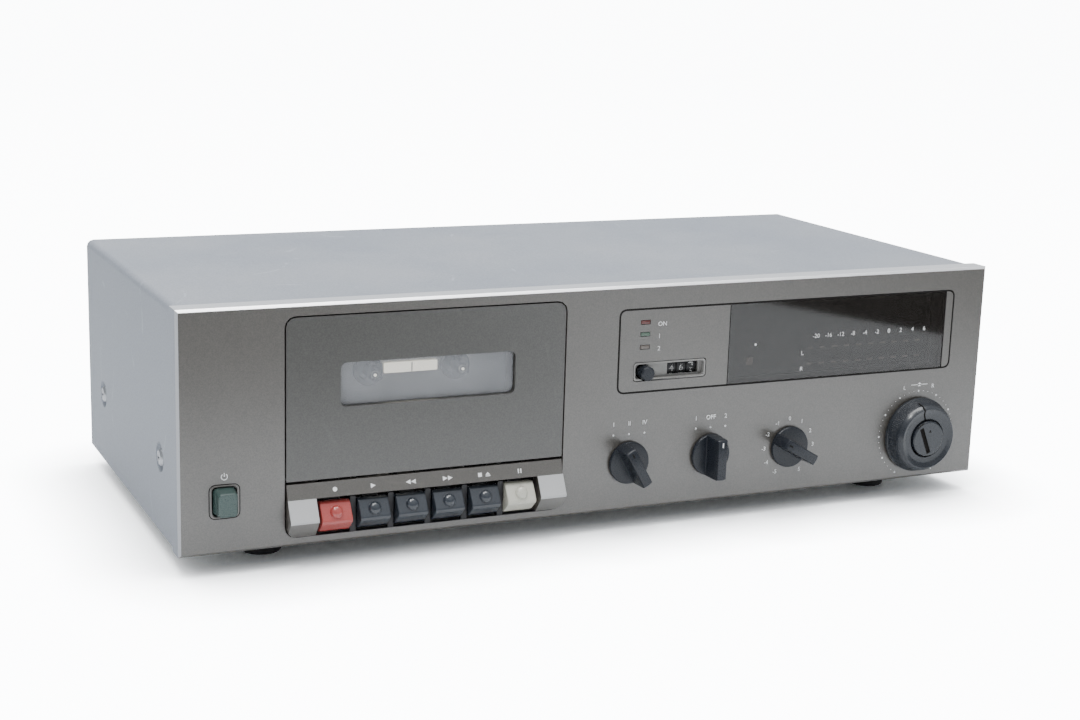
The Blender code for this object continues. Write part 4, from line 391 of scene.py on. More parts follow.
# %% Painted and moulded finishes
panel_paint = finish("panel_paint", (0.069, 0.063, 0.054), 0.42, frequency=1100, contrast=0.24, wear=0.35,
                     coat=1, coat_roughness=0.3, coat_ior=1.8)
door_paint = finish("door_paint", (0.051, 0.05, 0.045), 0.4, frequency=1100, contrast=0.24, wear=0.3,
                    coat=0.7, coat_roughness=0.3, coat_ior=1.7)
cheek_lit_paint = finish("cheek_lit_paint", (0.5, 0.5, 0.5), 0.38, frequency=2600, fineness=2, contrast=0.05,
                     relief=0.005, wear=0.3)
rim_highlight_paint = finish("rim_highlight_paint", (0.4, 0.41, 0.43), 0.4, frequency=2600, fineness=2, contrast=0.05,
                   relief=0.005, wear=0.3)
cut_edge = finish("cut_edge", (0.95, 0.95, 0.96), 0.38, metallic=1, frequency=(60, 1900, 1900), fineness=2,
                  contrast=0.03, relief=0.002, wear=0, dust=0)
tray_paint = finish("tray_paint", (0.24, 0.235, 0.225), 0.4, frequency=2600, fineness=2, contrast=0.08,
                    relief=0.005, wear=0.3)
cover_paint = finish("cover_paint", (0.2, 0.219, 0.254), 0.5, frequency=650, fineness=4, contrast=0.16,
                     relief=0.08, wear=0.3, dust=0.16, lines=0.35)
black_key = finish("black_key", (0.018, 0.024, 0.034), 0.3, frequency=1800, contrast=0.08, relief=0.002,
                   wear=0.5, edge_colour=(0.11, 0.125, 0.15), dust=0.06, lines=0.3, coat=0.8,
                   coat_roughness=0.05)
red_key = finish("red_key", (0.4, 0.06, 0.052), 0.3, frequency=1800, contrast=0.05, relief=0.002, wear=0.35,
                 dust=0.05, lines=0.25, coat=0.8, coat_roughness=0.05)
beige_key = finish("beige_key", (0.56, 0.55, 0.47), 0.3, frequency=1800, contrast=0.04, relief=0.002,
                   wear=0.3, dust=0.05, lines=0.25, coat=0.8, coat_roughness=0.05)
green_button = finish("green_button", (0.032, 0.064, 0.058), 0.3, frequency=1800, relief=0.003, wear=0.4,
                      edge_colour=(0.22, 0.34, 0.29), coat=0.3)
knob_plastic = finish("knob_plastic", (0.012, 0.015, 0.021), 0.3, frequency=1300, fineness=4, contrast=0.1,
                      relief=0.004, wear=0.5, edge_colour=(0.09, 0.1, 0.115), dust=0.02, specular=0.4)
level_plastic = finish("level_plastic", (0.012, 0.0155, 0.022), 0.3, frequency=1300, fineness=4, contrast=0.1,
                       relief=0.004, wear=0.5, edge_colour=(0.09, 0.1, 0.115), dust=0.02, coat=0.3,
                       coat_roughness=0.15)
dark_plastic = finish("dark_plastic", (0.014, 0.014, 0.016), 0.45, frequency=1100, fineness=4, contrast=0.12,
                      relief=0.006)
pale_plastic = finish("pale_plastic", (0.82, 0.79, 0.7), 0.5, contrast=0.03, relief=0.003, wear=0.1)
lit_plastic = finish("counter_white", (0.85, 0.85, 0.83), 0.5, contrast=0.02, relief=0.002, wear=0.05)
print("nodes in the panel's paint:", len(panel_paint.node_tree.nodes))

# %% [markdown]
# The inside is plated steel, turned steel, brass, rubber and brown laminate. Rolled sheet has its grain
# in long strokes, so one of its three frequencies is low; on turned parts it is the one along Y, the
# axis that they turn about.

# %% Metals, rubber and laminate
plated_steel = finish("plated_steel", (0.62, 0.61, 0.57), 0.38, metallic=1, frequency=(60, 1900, 1900),
                      fineness=4, contrast=0.08, relief=0.004, wear=0.3, dust=0.2)
screw_steel = finish("screw_steel", (0.36, 0.37, 0.39), 0.36, metallic=1, fineness=4, contrast=0.1,
                     relief=0.004, wear=0.4)
bright_steel = finish("bright_steel", (0.72, 0.72, 0.72), 0.18, metallic=1, frequency=(2200, 90, 2200),
                      fineness=4, contrast=0.05, relief=0.002, wear=0.2)
brass = finish("turned_brass", (0.62, 0.43, 0.17), 0.28, metallic=1, frequency=(2000, 120, 2000), fineness=4,
               contrast=0.08, relief=0.003)
rubber = finish("black_rubber", (0.018, 0.018, 0.019), 0.72, frequency=1400, fineness=5, contrast=0.15,
                relief=0.02, wear=0.4)
laminate = finish("brown_laminate", (0.24, 0.14, 0.055), 0.5, frequency=(700, 240, 700), fineness=4,
                  contrast=0.14, relief=0.006, wear=0.2, lines=0.5)
FINISH_OF_SLOT = {
    "fascia_paint": panel_paint, "cover_paint": cover_paint, "black_key": black_key, "red_key": red_key,
    "beige_key": beige_key, "green_button": green_button, "knob_plastic": knob_plastic,
    "dark_plastic": dark_plastic, "pale_plastic": pale_plastic, "plated_steel": plated_steel,
    "bright_steel": bright_steel, "brass": brass, "rubber": rubber, "circuit_board": laminate,
}

# %% [markdown]
# The two windows are smoked acrylic. The door's has gone hazy, so it is a thin grey film over a view of
# the reels: low alpha, a fairly rough surface. The meter window is clean, dark and glossy. The strip
# behind the reels catches the light of the room, which the closed case keeps out here, so it is given a
# painted glow that stands for that light. It is too small to light anything, and sending light samples
# to it would only add noise.

# %% Window finishes
hazy_window = finish("hazy_window", (0.4, 0.41, 0.43), 0.25, frequency=60, relief=0, wear=0, radius=0.02,
                     dust=0, lines=0, matt_span=0, alpha=0.42)
smoked_window = finish("smoked_window", (0.016, 0.014, 0.0125), 0.05, frequency=60, contrast=0.05, relief=0,
                       wear=0, radius=0.02, dust=0, lines=0.02, matt_span=0, specular=0.95, alpha=0.7)
glowing_strip = finish("glowing_strip", (0.85, 0.82, 0.72), 0.5, contrast=0.03, relief=0.002, wear=0, dust=0,
                    lines=0)
strip_shader = glowing_strip.node_tree.nodes["Principled BSDF"]
# Painted light: the strip's glow stands for the room's light falling on it.
strip_shader.inputs["Emission Color"].default_value = (1, 0.96, 0.82, 1)
strip_shader.inputs["Emission Strength"].default_value = 2.6
glowing_strip.cycles.emission_sampling = "NONE"
FINISH_OF_SLOT["smoked_window"] = smoked_window
for node, thing in nodes.items():
    thing.data.materials.clear()
    thing.data.materials.append(FINISH_OF_SLOT[slot_of[node]])
print(len(FINISH_OF_SLOT), "finishes for the model's slots")

# %% [markdown]
# Painted and moulded parts have no knife edges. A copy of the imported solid, merged and with its flat
# faces joined up, takes a Bevel modifier that rounds every real edge by a few tenths of a millimetre.
# This keeps holes and steps exactly where the model has them, which redrawing them would not promise.


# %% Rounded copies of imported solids
def mounted(thing, node):
    """The piece rides with the node's body and stands for the node, which is hidden."""
    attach(thing, body_of[node])
    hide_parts(node)
    return thing


def eased(node, width, material=None, steps=2):
    """A copy of the node whose edges sharper than 35 degrees are rounded to width, in millimetres."""
    mesh = nodes[node].data.copy()
    mesh.name = f"{node}_eased"
    work = bmesh.new()
    work.from_mesh(mesh)
    bmesh.ops.remove_doubles(work, verts=work.verts, dist=2e-6)
    bmesh.ops.dissolve_limit(work, angle_limit=math.radians(1), verts=work.verts, edges=work.edges)
    work.to_mesh(mesh)
    work.free()
    mesh.shade_smooth()
    thing = bpy.data.objects.new(f"{node}_eased", mesh)
    bpy.context.scene.collection.objects.link(thing)
    if material:
        mesh.materials.clear()
        mesh.materials.append(material)
    bevel = thing.modifiers.new("edge", "BEVEL")
    bevel.width = width * MM
    bevel.segments = steps
    bevel.limit_method = "ANGLE"
    bevel.angle_limit = math.radians(35)
    weighted = thing.modifiers.new("flat_faces", "WEIGHTED_NORMAL")
    weighted.weight = 100
    weighted.keep_sharp = True
    return mounted(thing, node)


for node in ("display_panel", "rear_panel"):
    eased(node, 0.25)
eased("top_cover", 0.35)
eased("cassette_door", 0.35, door_paint)
eased("counter_frame", 0.2, tray_paint)
for corner in ("front_left", "front_right", "rear_left", "rear_right"):
    eased(f"foot_{corner}", 0.5)
for corner in ("left_front", "left_rear", "right_front", "right_rear"):
    eased(f"cover_screw_{corner}", 0.2, screw_steel)
for node in ("mains_gland", "counter_reset_button"):
    eased(node, 0.25, steps=3)
eased("door_window", 0.3, hazy_window)

# %% [markdown]
# Some parts wear more than one finish. One copy of the solid carries them all: each face takes the one
# that its middle and direction call for. At the back, the sockets have bright barrels round red and
# white insulators, one column for each side.


# %% Finishes face by face, and the sockets
def faces_of(thing):
    """The middles, in panel millimetres, and the normals of a mesh's faces."""
    middles, normals = (np.empty(len(thing.data.polygons) * 3) for _ in range(2))
    thing.data.polygons.foreach_get("center", middles)
    thing.data.polygons.foreach_get("normal", normals)
    return middles.reshape(-1, 3) / MM - PANEL_ORIGIN, normals.reshape(-1, 3)


def refinish(thing, choice, *materials):
    """Adds materials, and gives each face the number in choice: 0 keeps the first finish."""
    for material in materials:
        thing.data.materials.append(material)
    thing.data.polygons.foreach_set("material_index", choice.astype(np.int32))


REAR_FACE_Y, SOCKET_END_Y, SOCKET_MIDDLE_X = 194, 202, 130
socket_red = finish("socket_red", (0.36, 0.03, 0.025), 0.4, frequency=1500, coat=0.3)
jacks = eased("jack_block", 0.25, steps=3)
middles, normals = faces_of(jacks)
barrel = (middles[:, 1] > REAR_FACE_Y) & (np.abs(normals[:, 1]) < 0.5)
ring = (middles[:, 1] > SOCKET_END_Y) & (normals[:, 1] > 0.5)
insulator = np.where(middles[:, 0] < SOCKET_MIDDLE_X, 2, 3)
refinish(jacks, barrel * 1 + ring * insulator, bright_steel, socket_red, pale_plastic)
print("sockets:", int(barrel.sum()), "barrel faces,", int(ring.sum()), "insulator faces")

# %% [markdown]
# The front panel's face is dark, and its rim, turned back over the cover, has the cover's paint on its
# sides. The rim's top and the chamfers down its sides take a lighter paint, a painted highlight, and the
# narrow chamfer along the top is bare cut metal. The bars between the keys take black plastic, painted
# shade between the keys. The strip above the keys is panel paint, and the cheeks beside them take a
# light paint on every face but the downward ones, which keep the dark panel paint: painted light and
# shade on one surface.

# %% Front panel rim and key bezel
DECK_X = -95.3
TOP_RIM_Z, SIDE_RIM_X = 107.7, 208.5
KEY_ROW = {"half": 54, "z": 12.5, "reach": 9}
front_panel = eased("front_panel", 0.25)
middles, normals = faces_of(front_panel)
on_top, on_side = middles[:, 2] > TOP_RIM_Z, np.abs(middles[:, 0]) > SIDE_RIM_X
sloping, turned_back = np.abs(normals[:, 1] + 0.7) < 0.2, np.abs(normals[:, 1]) < 0.4
# Painted shade: the bars between the keys take black plastic for the shadow that falls between them.
shade_between_keys = ((np.abs(middles[:, 0] - DECK_X) < KEY_ROW["half"]) & (middles[:, 1] > 0.2)
              & (np.abs(middles[:, 2] - KEY_ROW["z"]) < KEY_ROW["reach"]))
# Painted highlight: the rim's top and the chamfers down its sides take the lighter rim paint.
choice = np.select([on_top & sloping, (on_top & turned_back) | (on_side & sloping), on_side & turned_back,
                    shade_between_keys], [1, 2, 3, 4], 0)
refinish(front_panel, choice, cut_edge, rim_highlight_paint, cover_paint, dark_plastic)
bezel = eased("key_bezel", 0.5, steps=3)
middles, normals = faces_of(bezel)
# Painted light and shade: the cheeks' faces that don't face down take the light cheek paint, and their
# downward faces keep the dark panel paint.
cheek_lit_faces = (middles[:, 2] < 21.5) & (middles[:, 1] < -0.5) & (normals[:, 2] > -0.3)
refinish(bezel, cheek_lit_faces, cheek_lit_paint)
print("front panel faces by finish:", np.bincount(choice).tolist(), "and", int(cheek_lit_faces.sum()), "cheek faces")

# %% [markdown]
# Each key is its side profile carried across its width, with rounded corners and rounded ends. A finger
# dome stands on its sloping face, and behind the cap a hooked lever goes round the shaft that all six
# keys turn on.


# %% Keys
def dome(centre, across, normal, radius, height, rings=14, segments=48):
    """Half an ellipsoid with slightly fuller flanks: for t from 0 to pi/2 and a once round, its point is
    centre + r cos(t)^0.9 (u cos a + v sin a) + h sin t n, with n the normal, u across and v = n x u."""
    t = np.linspace(0, math.pi / 2, rings)[:, None, None]
    a = np.linspace(0, math.tau, segments, endpoint=False)[None, :, None]
    beside = np.cross(normal, across)
    spread = radius * np.cos(t) ** 0.9 * (np.cos(a) * across + np.sin(a) * beside)
    points = placed(centre + spread + height * np.sin(t) * normal)
    return points, grid_quads(rings, segments, True).tolist()


KEY_PITCH, KEY_HALF = 17.9, 7.15
SHAFT = np.array([8, 23.5])
key_profile = softened([(-1, 19.3), (-6.2, 10.9), (0.3, 5.1), (3.2, 5.1), (3.2, 19.3)], 1.7, steps=10)
face_normal = np.array([0, -8.4, 5.2]) / math.hypot(8.4, 5.2)
sweep_angle = np.radians(np.linspace(-90, 135, 19))
round_shaft = np.stack([np.cos(sweep_angle), np.sin(sweep_angle)], 1)
lever = np.concatenate([[(1.6, 17.5)], SHAFT + 4 * round_shaft, SHAFT + 2.35 * round_shaft[::-1],
                        [(1.6, 19.0)]])
KEY_NAMES = ("record", "play", "rewind", "forward", "stop_open", "pause")
KEY_PLACES = DECK_X + (np.arange(6) - 2.5) * KEY_PITCH
for name, x in zip(KEY_NAMES, KEY_PLACES):
    shells = [moulded_bar(key_profile, x - KEY_HALF, x + KEY_HALF, 0.55, 0, steps=6),
              dome(np.array([x, -3.6, 15.1]), np.array([1, 0, 0]), face_normal, 3.0, 2.4)]
    node = f"{name}_key"
    mounted(new_object(f"{name}_key_cap", shells, FINISH_OF_SLOT[slot_of[node]], 50), node)
    arm = new_object(f"{name}_key_lever", [moulded_bar(lever, x - 4, x + 4, 0.15, 0, steps=2)], dark_plastic)
    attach(arm, body_of[node])
print("keys stand at", KEY_PLACES.round(1).tolist())

# %% [markdown]
# The selector knobs are a thin disc with a bar right across it. The bar's outline is a rectangle whose
# short ends follow the disc's circle, and its front is drawn in slightly, as moulded knobs are. The
# whole knob is worked out pointing up and then turned about its own axis to where it points.


# %% Selector knobs
def turned_about(points, x, z, degrees):
    """Points in millimetres turned clockwise, as seen from the front, about the line along Y through
    (x, z): u' = u cos a + v sin a and v' = v cos a - u sin a."""
    a = math.radians(degrees)
    u, v = points[..., 0] - x, points[..., 2] - z
    return np.stack([x + u * math.cos(a) + v * math.sin(a), points[..., 1],
                     z - u * math.sin(a) + v * math.cos(a)], -1)


def in_panel(shell, x, z, degrees):
    """A shell in model metres turned about a knob's axis."""
    points, faces = shell
    return placed(turned_about(np.asarray(points) / MM - PANEL_ORIGIN, x, z, degrees)), faces


def grip_outline(x, z, radius, width, steps=9):
    """The bar's outline: two long sides and two ends on the circle of the given radius, each
    asin(width / 2r) to either side of straight up or down."""
    spread = math.asin(width / 2 / radius)
    ends = np.concatenate([np.linspace(math.pi / 2 - spread, math.pi / 2 + spread, steps),
                           np.linspace(1.5 * math.pi - spread, 1.5 * math.pi + spread, steps)])
    return np.stack([x + radius * np.cos(ends), z + radius * np.sin(ends)], -1)


KNOB_Z = 23.5
SELECTORS = (("tape_selector_knob", 6.5, -30), ("noise_filter_knob", 51.1, 0), ("play_trim_knob", 96.3, -60))
GRIP_LAYERS = [(-1.4, 10.33, 5.6), (-10.9, 10.3, 5.2), (-12.2, 10.15, 5.1), (-12.75, 9.8, 4.8),
               (-13.0, 9.3, 4.3)]
disc_profile = [(0, -2.2), (9.6, -2.2), (10.05, -2.08), (10.3, -1.75), (10.35, -1.4), (10.35, -0.6),
                (3, -0.6), (3, 17), (0, 17)]
for node, x, pointing in SELECTORS:
    rings = [placed(lifted(grip_outline(x, KNOB_Z, radius, width), depth, 1))
             for depth, radius, width in GRIP_LAYERS]
    grip = in_panel(capped(np.stack(rings)), x, KNOB_Z, pointing)
    disc = turned(disc_profile, (x, KNOB_Z))
    mounted(new_object(f"{node}_moulding", [disc, grip], knob_plastic, 35), node)
    print(node, "points to", pointing, "degrees from straight up")

# %% [markdown]
# The level control is two knobs in one. The outer one has a finely ribbed cone, which is a turned
# profile whose radius also moves with the angle on the cone only. The inner one is flat, with a finger
# slot off its middle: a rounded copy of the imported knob, turned to where the photograph shows it.

# %% Level and balance knobs
LEVEL_X = 173.1
RIBS, RIB_HEIGHT = 120, 0.2
BALANCE_TURN = -22


def ribs(angle, depth, radius):
    """h (|cos(n a / 2)| - 1/2) for n ribs of height h, fading in and out at the cone's ends."""
    on_cone = np.clip((-depth - 2.7) / 0.5, 0, 1) * np.clip((8.4 + depth) / 0.4, 0, 1) * (radius > 16.5)
    return RIB_HEIGHT * on_cone * (np.abs(np.cos(RIBS * angle / 2)) - 0.5)


cone = [(19.0 - 0.3 * k, -2.7 - 0.95 * k) for k in range(7)]
level_profile = [(2.3, 17), (3, 17), (3, -0.6), (19.0, -0.6), (19.25, -0.85), (19.25, -2.4), (19.0, -2.65),
                 *cone, (17.0, -8.9), (15.8, -10.6), (15.4, -10.95), (15.0, -10.9), (13.2, -10.05),
                 (12.8, -9.95), (10.1, -9.95), (9.75, -9.6), (9.75, -5), (2.3, -5)]
level_shell = turned(level_profile, (LEVEL_X, KNOB_Z), 6 * RIBS, 1, ribs)
mounted(new_object("record_level_ring", [level_shell], level_plastic, 30), "record_level_knob")
balance = eased("balance_knob", 0.3, level_plastic, 3)
flat = np.empty(len(balance.data.vertices) * 3)
balance.data.vertices.foreach_get("co", flat)
tilted = placed(turned_about(flat.reshape(-1, 3) / MM - PANEL_ORIGIN, LEVEL_X, KNOB_Z, BALANCE_TURN))
balance.data.vertices.foreach_set("co", tilted.ravel())
print("level ring:", RIBS, "ribs; balance knob turned by", BALANCE_TURN, "degrees")

# %% [markdown]
# The markings are screen-printed in white. An image could carry them, but a real, very thin layer of
# ink needs none and stays sharp from near by. A mark is a set of flat polygons in the print's own plane,
# and a print is all the marks that one body carries there.


# %% Flat marks: discs, polygons and rings
def disc_mark(u, v, radius, steps=20):
    """A regular polygon: (u, v) + r (cos a, sin a) at equal steps of a."""
    a = np.linspace(0, math.tau, steps, endpoint=False)
    return np.stack([u + radius * np.cos(a), v + radius * np.sin(a)], 1), [list(range(steps))]


def polygon_mark(corners):
    """One face round the given corners."""
    return np.asarray(corners, float), [list(range(len(corners)))]


def block_mark(u, v, width, height):
    """An upright rectangle: (u, v) plus and minus half its width and height."""
    a, b = width / 2, height / 2
    return polygon_mark([(u - a, v - b), (u + a, v - b), (u + a, v + b), (u - a, v + b)])


def arrow_mark(u, v, width, height, way=1):
    """A filled triangle, its tip at u + width / 2, or at u - width / 2 where way is -1."""
    a, b = way * width / 2, height / 2
    return polygon_mark([(u - a, v - b), (u + a, v), (u - a, v + b)])


def ring_mark(u, v, radius, thick, start=0.0, sweep=360.0, steps=40):
    """Part of a flat ring, from the start angle on, in degrees anticlockwise from the right: two arcs,
    (u, v) + (r - thick / 2) (cos a, sin a) and the same with r + thick / 2."""
    a = np.radians(np.linspace(start, start + sweep, steps))
    around = np.stack([np.cos(a), np.sin(a)], 1)
    points = np.concatenate([(u, v) + (radius - thick / 2) * around, (u, v) + (radius + thick / 2) * around])
    return points, grid_quads(2, steps, False).tolist()


def frame_mark(left, right, low, high, radius, thick):
    """A flat frame: the outline and the same outline drawn in by its thickness."""
    outer = box_outline(left, right, low, high, radius)
    inner = box_outline(left + thick, right - thick, low + thick, high - thick, radius - thick)
    return np.concatenate([outer, inner]), grid_quads(2, len(outer), True).tolist()


# %% [markdown]
# Numerals come from a text object, because a font's outlines are already there. It is made a mesh at
# once, and only its flat points and faces are kept, centred on the place where the numeral stands.


# %% Numerals and letters
CAPITAL_SHARE = 0.72


def words(body, u, v, height, weight=0.0):
    """Numerals or letters as flat polygons, centred on (u, v), with capitals of the given height: a
    font's capitals are 0.72 of its size. Weight makes every stroke thicker."""
    curve = bpy.data.curves.new("lettering", "FONT")
    curve.body, curve.size, curve.offset = body, height / CAPITAL_SHARE, weight
    curve.resolution_u = 3
    holder = bpy.data.objects.new("lettering", curve)
    bpy.context.scene.collection.objects.link(holder)
    shape = bpy.data.meshes.new_from_object(holder.evaluated_get(bpy.context.evaluated_depsgraph_get()))
    flat = np.empty(len(shape.vertices) * 3)
    shape.vertices.foreach_get("co", flat)
    flat = flat.reshape(-1, 3)[:, :2]
    faces = [list(face.vertices) for face in shape.polygons]
    bpy.data.objects.remove(holder)
    bpy.data.curves.remove(curve)
    bpy.data.meshes.remove(shape)
    middle = (flat.min(0) + flat.max(0)) / 2
    return flat + (u - middle[0], v - height / 2), faces


# %% [markdown]
# A print is laid out flat and then carried to its surface by a plane function, so the same marks can
# go on a flat panel, a sloping strip or a wheel. Its face stands 0.05 mm proud of the surface and its
# back 0.02 mm inside it, so that no gap shows.

# %% Prints
ink = finish("white_ink", (0.95, 0.95, 0.94), 0.45, frequency=700, fineness=2, contrast=0.04, relief=0,
             wear=0, dust=0, lines=0)
SUNK, INK_DEPTH = 0.02, 0.07


def on_front(flat, depth):
    """The panel's own plane: u is X and v is Z."""
    return lifted(flat, depth, 1)


def printed(name, node, marks, plane=on_front, face=0.0, material=ink):
    """One layer of ink: plane(flat, depth) gives panel points, and the ink reaches from face + 0.02 to
    0.07 in front of that. An edge (a, b) that no other polygon has as (b, a) is on the rim and gets a
    wall. The print rides with the node's body."""
    points, faces, count = [], [], 0
    for flat, polygons in marks:
        points.append(flat)
        faces += [[corner + count for corner in polygon] for polygon in polygons]
        count += len(flat)
    flat = np.concatenate(points)
    layer = np.concatenate([plane(flat, face + SUNK - INK_DEPTH), plane(flat, face + SUNK)])
    edges = {edge for polygon in faces for edge in zip(polygon, polygon[1:] + polygon[:1])}
    walls = [[b, a, a + count, b + count] for a, b in sorted(edges) if (b, a) not in edges]
    backs = [[corner + count for corner in reversed(polygon)] for polygon in faces]
    thing = new_object(name, [(placed(layer), faces + backs + walls)], material)
    thing.data.shade_flat()
    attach(thing, body_of[node])
    print(f"{name}: {len(marks)} marks on {node}")


# %% [markdown]
# On the front panel: the power sign, the dots and numbers round the knobs, and the fine scale of dots
# round the level control. The dots of a scale lie on a circle, at angles that run clockwise from the
# top.


# %% Print on the front panel
def around_knob(x, radius, degrees):
    """A place on a circle round a knob's axis: x + r sin a and z + r cos a, clockwise from the top."""
    a = np.radians(degrees)
    return x + radius * np.sin(a), KNOB_Z + radius * np.cos(a)


POWER_X = -189.6
TAPE_X, FILTER_X, TRIM_X = (x for _, x, _ in SELECTORS)
marks = [ring_mark(POWER_X, 34.9, 1.35, 0.38, 125, 290), block_mark(POWER_X, 35.8, 0.38, 1.7)]
marks += [disc_mark(TAPE_X + shift, 37.3, 0.5) for shift in (-8.3, 0, 8.3)]
marks += [words(word, TAPE_X + shift, 42.6, 2.2, 0.03)
          for word, shift in (("I", -8.3), ("II", 0), ("IV", 8.3))]
marks += [disc_mark(FILTER_X + shift, 37.0, 0.5) for shift in (-8.2, 0, 8.2)]
marks += [words(word, FILTER_X + shift, 42.2, 2.2, weight)
          for word, shift, weight in (("1", -8.2, 0.03), ("OFF", 0, 0.06), ("2", 8.2, 0.03))]
for number in range(-5, 6):
    marks.append(words(str(number), *around_knob(TRIM_X, 14.3, 30 * number), 2.1, 0.03))
for step in range(41):
    radius = 0.5 if step % 4 == 0 else 0.2
    marks.append(disc_mark(*around_knob(LEVEL_X, 22.6, -150 + 7.5 * step), radius, 14))
marks += [words("L", 164.3, 48.3, 2.1, 0.03), words("R", 181.9, 48.3, 2.1, 0.03),
          block_mark(173.3, 49.4, 10.2, 0.35), disc_mark(173.3, 49.4, 0.95)]
printed("front_panel_print", "front_panel", marks)

# %% [markdown]
# The strip above the keys slopes, so its symbols are laid out along the slope: the plane takes a
# distance up the slope and gives depth and height from the strip's two edges.

# %% Print on the key strip
STRIP_LOW_EDGE = np.array([-2.2, 21.7])
SLOPE = np.array([2.2, 6.6])
SLOPE_LENGTH = float(np.linalg.norm(SLOPE))


def on_strip(flat, depth):
    """(Y, Z) = lower edge + v s + depth n, where s runs up the slope and n is its inward normal."""
    along = SLOPE / SLOPE_LENGTH
    inward = np.array([along[1], -along[0]])
    side = STRIP_LOW_EDGE + flat[..., 1:] * along + depth * inward
    return np.concatenate([flat[..., :1], side], -1)


middle = 3.3
x = KEY_PLACES
marks = [disc_mark(x[0], middle, 1.05, 28), arrow_mark(x[1], middle, 2.3, 2.2),
         arrow_mark(x[2] - 1.25, middle, 2.3, 2.2, -1), arrow_mark(x[2] + 1.25, middle, 2.3, 2.2, -1),
         arrow_mark(x[3] - 1.25, middle, 2.3, 2.2), arrow_mark(x[3] + 1.25, middle, 2.3, 2.2),
         block_mark(x[4] - 2.0, middle, 1.9, 1.9), block_mark(x[4] + 1.9, middle - 0.8, 2.4, 0.42),
         polygon_mark([(x[4] + 0.7, middle - 0.35), (x[4] + 3.1, middle - 0.35), (x[4] + 1.9, middle + 1)]),
         block_mark(x[5] - 0.62, middle, 0.62, 2.1), block_mark(x[5] + 0.62, middle, 0.62, 2.1)]
printed("key_strip_print", "key_bezel", marks, on_strip)

# %% [markdown]
# The display insert has labels beside its three lamps, and the window a decibel scale, which is printed
# on the window itself, where it stays crisp against the dark behind it.

# %% Display print
marks = [words("ON", 22.0, 90.1, 2.2), words("1", 20.6, 84.3, 2.2), words("2", 20.6, 78.3, 2.2)]
printed("display_print", "display_panel", marks)
SCALE = ("-20", "-16", "-12", "-8", "-4", "-2", "0", "2", "4", "6")
SCALE_PLACES = 108.7 + 7.2 * np.arange(10)
marks = [words(word, u, 78.9, 2.2, 0.05 if word == "0" else 0.0) for word, u in zip(SCALE, SCALE_PLACES)]
marks += [words("L", 101.2, 70.7, 2.2), words("R", 101.2, 62.7, 2.2), disc_mark(74, 76.6, 0.6, 28)]
printed("window_print", "meter_window", marks)

# %% [markdown]
# Behind the window a matt black mask carries two rows of level bars and one square lamp. They are
# unlit, so they only just show through. A trace of glow stands for the room's light that falls on them
# through the real window.

# %% Mask and level bars
mask_black = finish("mask_black", (0.012, 0.011, 0.01), 0.6, contrast=0.1, relief=0.004, wear=0.1, dust=0,
                    lines=0, specular=0.1)
unlit_bar = finish("unlit_level_bar", (0.75, 0.56, 0.5), 0.5, contrast=0.05, relief=0.002, wear=0.1, dust=0,
                   lines=0)
bar_shader = unlit_bar.node_tree.nodes["Principled BSDF"]
bar_shader.inputs["Emission Color"].default_value = (1, 0.72, 0.62, 1)
bar_shader.inputs["Emission Strength"].default_value = 0.2
unlit_bar.cycles.emission_sampling = "NONE"
mask = moulded_bar(box_outline(63.4, 181.2, 60.0, 95.2, 0.5), 4.9, 5.4, 0.05, 1, steps=2)
mounted_mask = new_object("meter_mask", [mask], mask_black)
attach(mounted_mask, "root")
bars = [moulded_bar(box_outline(u - 1.6, u + 1.6, z - 0.45, z + 0.45, 0.12), 4.6, 4.95, 0.08, 1, steps=3)
        for z in (71.8, 63.8) for u in SCALE_PLACES]
bars.append(moulded_bar(box_outline(72.1, 75.9, 65.5, 69.3, 0.3), 4.5, 4.95, 0.1, 1, steps=3))
level_bars = new_object("level_bars", bars, unlit_bar)
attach(level_bars, "root")
print(len(bars), "bars behind the window")

# %% [markdown]
# The lamps are narrow blocks of tinted plastic, set into the insert with their rounded faces just
# proud of it. Each has a finish of its own, dim because no lamp is lit.

# %% Lamps
LAMPS = (("power_lamp", 91.2, (0.1, 0.022, 0.02)), ("filter_1_lamp", 85.4, (0.06, 0.105, 0.075)),
         ("filter_2_lamp", 79.2, (0.12, 0.1, 0.088)))
for name, z, colour in LAMPS:
    lens = finish(f"{name}_lens", colour, 0.2, contrast=0.1, relief=0.002, wear=0.2, coat=0.4)
    body = moulded_bar(box_outline(10.65, 15.35, z - 0.85, z + 0.85, 0.25), -0.15, 6, 0.2, 1)
    window = new_object(name, [body], lens)
    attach(window, "root")
print(len(LAMPS), "lamps")

# %% [markdown]
# A counter wheel carries the ten digits round its rim, 36 degrees apart. A flat digit is bent onto the
# wheel by reading its height as an arc. The counter stands at 4, 6 and halfway between 4 and 5, so each
# wheel starts from its own angle.

# %% Counter wheels
WHEEL_Y, WHEEL_Z, WHEEL_RADIUS = 11.5, 67.3, 7.5
DIGIT_ARC = WHEEL_RADIUS * math.radians(36)


def on_wheel(flat, depth):
    """Y = centre - (R - depth) cos(v / R) and Z = centre + (R - depth) sin(v / R)."""
    radius = WHEEL_RADIUS - depth
    angle = flat[..., 1] / WHEEL_RADIUS
    return np.stack([flat[..., 0], WHEEL_Y - radius * np.cos(angle), WHEEL_Z + radius * np.sin(angle)], -1)


